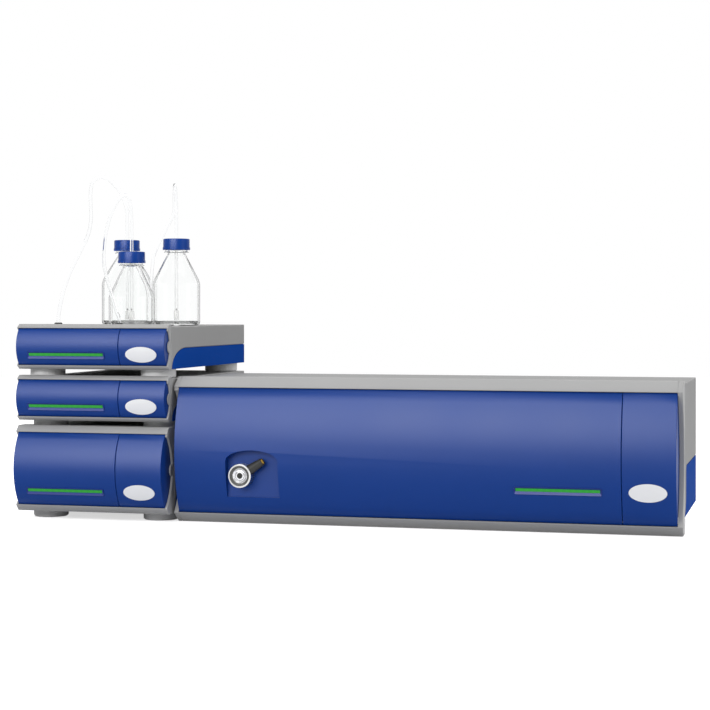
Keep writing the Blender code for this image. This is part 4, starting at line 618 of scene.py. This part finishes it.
valve_steel = machined("valve_steel", (0.50, 0.50, 0.495), lathe, {"Centre": VALVE_CENTRE})
finish_node("valve_stator", valve_steel)
finish_node("valve_hub", valve_steel)
port_steel = machined("port_steel", (0.55, 0.55, 0.56), lathe, {"Centre": VALVE_CENTRE})
port_tree = port_steel.node_tree
port_reach = port_tree.nodes["lathe_rings"].outputs["Distance"]
# Painted shade on the port's flat face: a darker ring for a fine grooved cut, a dark disc for the
# hole.
past_inside = calculate(port_tree, "GREATER_THAN", port_reach, GROOVE_SHADE_INSIDE)
before_outside = calculate(port_tree, "LESS_THAN", port_reach, GROOVE_SHADE_OUTSIDE)
groove_shade = calculate(port_tree, "MULTIPLY", past_inside, before_outside)
bore_shade = calculate(port_tree, "LESS_THAN", port_reach, BORE_SHADE_RADIUS)
tint(port_steel, groove_shade, (0.20, 0.205, 0.215), 0.8)
tint(port_steel, bore_shade, (0.035, 0.035, 0.033), 1.0)
finish_node("valve_needle_port", port_steel)
valve_ring = coated(
    "valve_ring", (0.07, 0.07, 0.065),
    rough=0.38, spread=0.10, grain_scale=800.0, grain_depth=0.00005,
)
finish_node("valve_insert", valve_ring)
lever_black = coated(
    "lever_black", (0.030, 0.030, 0.028),
    rough=0.36, spread=0.12, grain_scale=700.0, grain_depth=0.00006, specular=0.25,
)
finish_node("valve_lever", lever_black)
lever_brass = coated(
    "lever_brass", (0.27, 0.165, 0.032),
    rough=0.42, spread=0.10, grain_scale=500.0, grain_depth=0.00002, metallic=1.0,
)
finish_node("valve_lever_tip", lever_brass)

# The service bays: white polymer port blocks moulded with their nuts, steel pump heads turned on a
# lathe, and the purge valve's black knob. The rear rockers are of the same black plastic, and the
# coolant fittings are brass.
port_polymer = coated(
    "port_polymer", (0.72, 0.72, 0.70),
    rough=0.42, spread=0.10, grain_scale=600.0, grain_depth=0.00004,
)
for node in ("degasser_port_block", "organizer_port_block"):
    finish_node(node, port_polymer)
for node in ("pump_head_lower", "pump_head_upper"):
    low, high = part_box(node)
    middle = [(a + b) / 2 for a, b in zip(low, high)]
    finish_node(node, machined(node + "_steel", (0.60, 0.60, 0.60), lathe, {"Centre": middle}))
knob_black = coated(
    "knob_black", (0.03, 0.03, 0.028),
    rough=0.42, spread=0.12, grain_scale=900.0, grain_depth=0.00008,
)
for node in ("pump_purge_knob", "pump_power_switch", "channel_power_switch"):
    finish_node(node, knob_black)
finish_node("coolant_fittings", lever_brass)

# Pan-head screws hold the back sheets to the trays and the hoods: zinc-plated steel, with a round
# recess pressed into the head. One is modelled, and the rest are copies in two rows.
SCREW_RADIUS = 0.0030
SCREW_RISE = 0.0009
HEAD_EDGE = 0.0004
HEAD_DOME = 0.0002
HEAD_LAND = 0.0012
RECESS_EDGE = 0.0003
RECESS_DEPTH = 0.0006
SCREW_FROM_SIDE = 0.012
SCREW_ABOVE_TRAY = 0.008
SCREW_BELOW_TOP = 0.010
BACK_SINK = 0.0015
bpy.ops.object.select_all(action="DESELECT")
bpy.ops.mesh.primitive_cylinder_add(
    vertices=20, radius=SCREW_RADIUS, depth=SCREW_RISE, location=(0.0, 0.0, SCREW_RISE / 2)
)
screw = bpy.context.object
bpy.ops.object.mode_set(mode="EDIT")
bpy.ops.mesh.select_all(action="DESELECT")
bpy.ops.object.mode_set(mode="OBJECT")
for face in screw.data.polygons:
    face.select = face.normal.z > 0.9
bpy.ops.object.mode_set(mode="EDIT")
bpy.ops.mesh.inset(thickness=HEAD_EDGE, depth=HEAD_DOME)
bpy.ops.mesh.inset(thickness=HEAD_LAND, depth=0.0)
bpy.ops.mesh.inset(thickness=RECESS_EDGE, depth=-RECESS_DEPTH)
bpy.ops.object.mode_set(mode="OBJECT")
bpy.ops.object.shade_smooth_by_angle(angle=math.radians(40))
screw_zinc = coated(
    "screw_zinc", (0.62, 0.63, 0.64),
    rough=0.30, spread=0.12, grain_scale=700.0, grain_depth=0.00003, metallic=1.0,
)
screw.data.materials.append(screw_zinc)
screw_mesh = screw.data
bpy.data.objects.remove(screw, do_unlink=True)
for unit, columns in (("pump", 3), ("degasser", 3), ("organizer", 3), ("channel", 6)):
    low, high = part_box(unit + "_base")
    hood_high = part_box(unit + "_hood")[1]
    sheet = high[1] - BACK_SINK
    span = high[0] - low[0] - 2 * SCREW_FROM_SIDE
    levels = (tray_bottoms[unit] + SCREW_ABOVE_TRAY, hood_high[2] - SCREW_BELOW_TOP)
    for column in range(columns):
        x = low[0] + SCREW_FROM_SIDE + span * column / (columns - 1)
        for row, z in enumerate(levels):
            head = bpy.data.objects.new(f"{unit}_screw_{column}_{row}", screw_mesh.copy())
            bpy.context.scene.collection.objects.link(head)
            head.data.transform(
                Matrix.Translation((x, sheet, z)) @ Matrix.Rotation(math.radians(-90), 4, "X")
            )
            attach(head, "frame")

# The bottles are blown borosilicate glass with a thick base and a ground rim under the cap. The
# surface ripples a little, and the walls are painted dark where they are seen edge on: painted
# shade.
bottle_glass = clear("bottle_glass", 0.62, 0.82, (0.99, 0.995, 0.993), (0.08, 0.082, 0.082))
glass_tree = bottle_glass.node_tree
glass_shader = glass_tree.nodes["Principled BSDF"]
ripple = noise(glass_tree, object_place(glass_tree), 28.0, 1.0)
glass_bump = glass_tree.nodes.new("ShaderNodeBump")
glass_bump.inputs["Strength"].default_value = 0.15
glass_bump.inputs["Distance"].default_value = 0.0006
glass_tree.links.new(ripple, glass_bump.inputs["Height"])
glass_tree.links.new(glass_bump.outputs["Normal"], glass_shader.inputs["Normal"])
glass_tree.links.new(ranged(glass_tree, ripple, 0.0, 0.04), glass_shader.inputs["Roughness"])
# Painted shade: the glass is painted nearly black where its wall is seen edge on.
for side in bottle_places:
    finish_node("bottle_" + side, bottle_glass, smooth_below=17.0)

# Below each cap a thin-walled tube hangs down the middle of the bottle, widened a little where it
# is pushed over the stem of the inlet filter, a cup of pale sintered glass that keeps dust out.
FILTER_RADIUS = 0.0045
FILTER_LENGTH = 0.016
FILTER_EDGE = 0.0007
FILTER_CLEAR = 0.009
STEM_SHOULDER = 0.0025
STEM_LENGTH = 0.0035
DIP_WALL = 0.0008
DIP_LIP = 0.0005
DIP_FLARE = 1.12
dip_material = coated(
    "dip_tubing", (0.92, 0.93, 0.94),
    rough=0.30, spread=0.15, grain_scale=300.0, grain_depth=0.00003, specular=0.2,
)
dip_tree = dip_material.node_tree
dip_facing = dip_tree.nodes.new("ShaderNodeLayerWeight").outputs["Facing"]
dip_solid = ranged(dip_tree, dip_facing, 0.02, 0.12)
dip_tree.links.new(dip_solid, dip_tree.nodes["Principled BSDF"].inputs["Alpha"])
filter_frit = coated(
    "filter_frit", (0.84, 0.84, 0.83),
    rough=0.70, spread=0.08, grain_scale=2600.0, grain_depth=0.0003,
)
filter_frit.node_tree.nodes["Principled BSDF"].inputs["Alpha"].default_value = 0.40
for side, (right, back, height) in bottle_places.items():
    x = STACK_RIGHT + right
    y = SLIM_LIP + back
    foot = DECK + SEAT_GAP + FILTER_CLEAR
    bpy.ops.object.select_all(action="DESELECT")
    bpy.ops.mesh.primitive_cylinder_add(
        vertices=20,
        radius=FILTER_RADIUS,
        depth=FILTER_LENGTH,
        location=(x, y, foot + FILTER_LENGTH / 2),
    )
    filter_cup = bpy.context.object
    filter_cup.name = "inlet_filter_" + side
    bpy.ops.object.transform_apply(location=True, rotation=True, scale=True)
    bpy.ops.object.mode_set(mode="EDIT")
    bpy.ops.mesh.select_all(action="SELECT")
    bpy.ops.mesh.bevel(offset=FILTER_EDGE, segments=2)
    bpy.ops.mesh.select_all(action="DESELECT")
    bpy.ops.object.mode_set(mode="OBJECT")
    for face in filter_cup.data.polygons:
        face.select = face.normal.z > 0.99 and len(face.vertices) > 4
    bpy.ops.object.mode_set(mode="EDIT")
    bpy.ops.mesh.inset(thickness=STEM_SHOULDER, depth=0.0)
    bpy.ops.mesh.extrude_region_move(TRANSFORM_OT_translate={"value": (0.0, 0.0, STEM_LENGTH)})
    bpy.ops.object.mode_set(mode="OBJECT")
    bpy.ops.object.shade_smooth_by_angle(angle=math.radians(40))
    filter_cup.data.materials.append(filter_frit)
    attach(filter_cup, "frame")

    bpy.ops.object.select_all(action="DESELECT")
    low_end = foot + FILTER_LENGTH + DIP_LIP
    high_end = DECK + SEAT_GAP + height - DIP_LIP
    bpy.ops.mesh.primitive_cylinder_add(
        vertices=16,
        radius=TUBE_RADIUS,
        depth=high_end - low_end,
        end_fill_type="NOTHING",
        location=(x, y, (low_end + high_end) / 2),
    )
    dip_tube = bpy.context.object
    dip_tube.name = "dip_tube_" + side
    bpy.ops.object.transform_apply(location=True, rotation=True, scale=True)
    for vertex in dip_tube.data.vertices:
        vertex.select = vertex.co.z < low_end + 0.0001
    bpy.ops.object.mode_set(mode="EDIT")
    bpy.ops.mesh.select_mode(type="VERT")
    bpy.ops.mesh.extrude_region_move(TRANSFORM_OT_translate={"value": (0.0, 0.0, -DIP_LIP)})
    bpy.ops.transform.resize(value=(DIP_FLARE, DIP_FLARE, 1.0))
    bpy.ops.mesh.select_all(action="SELECT")
    bpy.ops.mesh.normals_make_consistent(inside=False)
    bpy.ops.object.mode_set(mode="OBJECT")
    wall = dip_tube.modifiers.new("wall", "SOLIDIFY")
    wall.thickness = DIP_WALL
    wall.offset = -1.0
    bpy.ops.object.modifier_apply(modifier="wall")
    bpy.ops.object.shade_smooth_by_angle(angle=math.radians(35))
    dip_tube.data.materials.append(dip_material)
    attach(dip_tube, "frame")

# The screw caps are moulded in blue polypropylene, smooth at the skirt, with a drip ring below.
# The grommets that the tubes end in are black rubber collars in the deck.
cap_polymer = coated(
    "cap_polymer", (0.003, 0.045, 0.27),
    rough=0.30, spread=0.08, grain_scale=700.0, grain_depth=0.00005, specular=0.12,
)
for side in bottle_places:
    finish_node("cap_" + side, cap_polymer)
    mirroring.objects.link(nodes["cap_" + side])
grommet_rubber = coated(
    "grommet_rubber", (0.02, 0.02, 0.02),
    rough=0.6, spread=0.15, grain_scale=500.0, grain_depth=0.0001,
)
for side in bottle_places:
    finish_node("grommet_" + side, grommet_rubber)
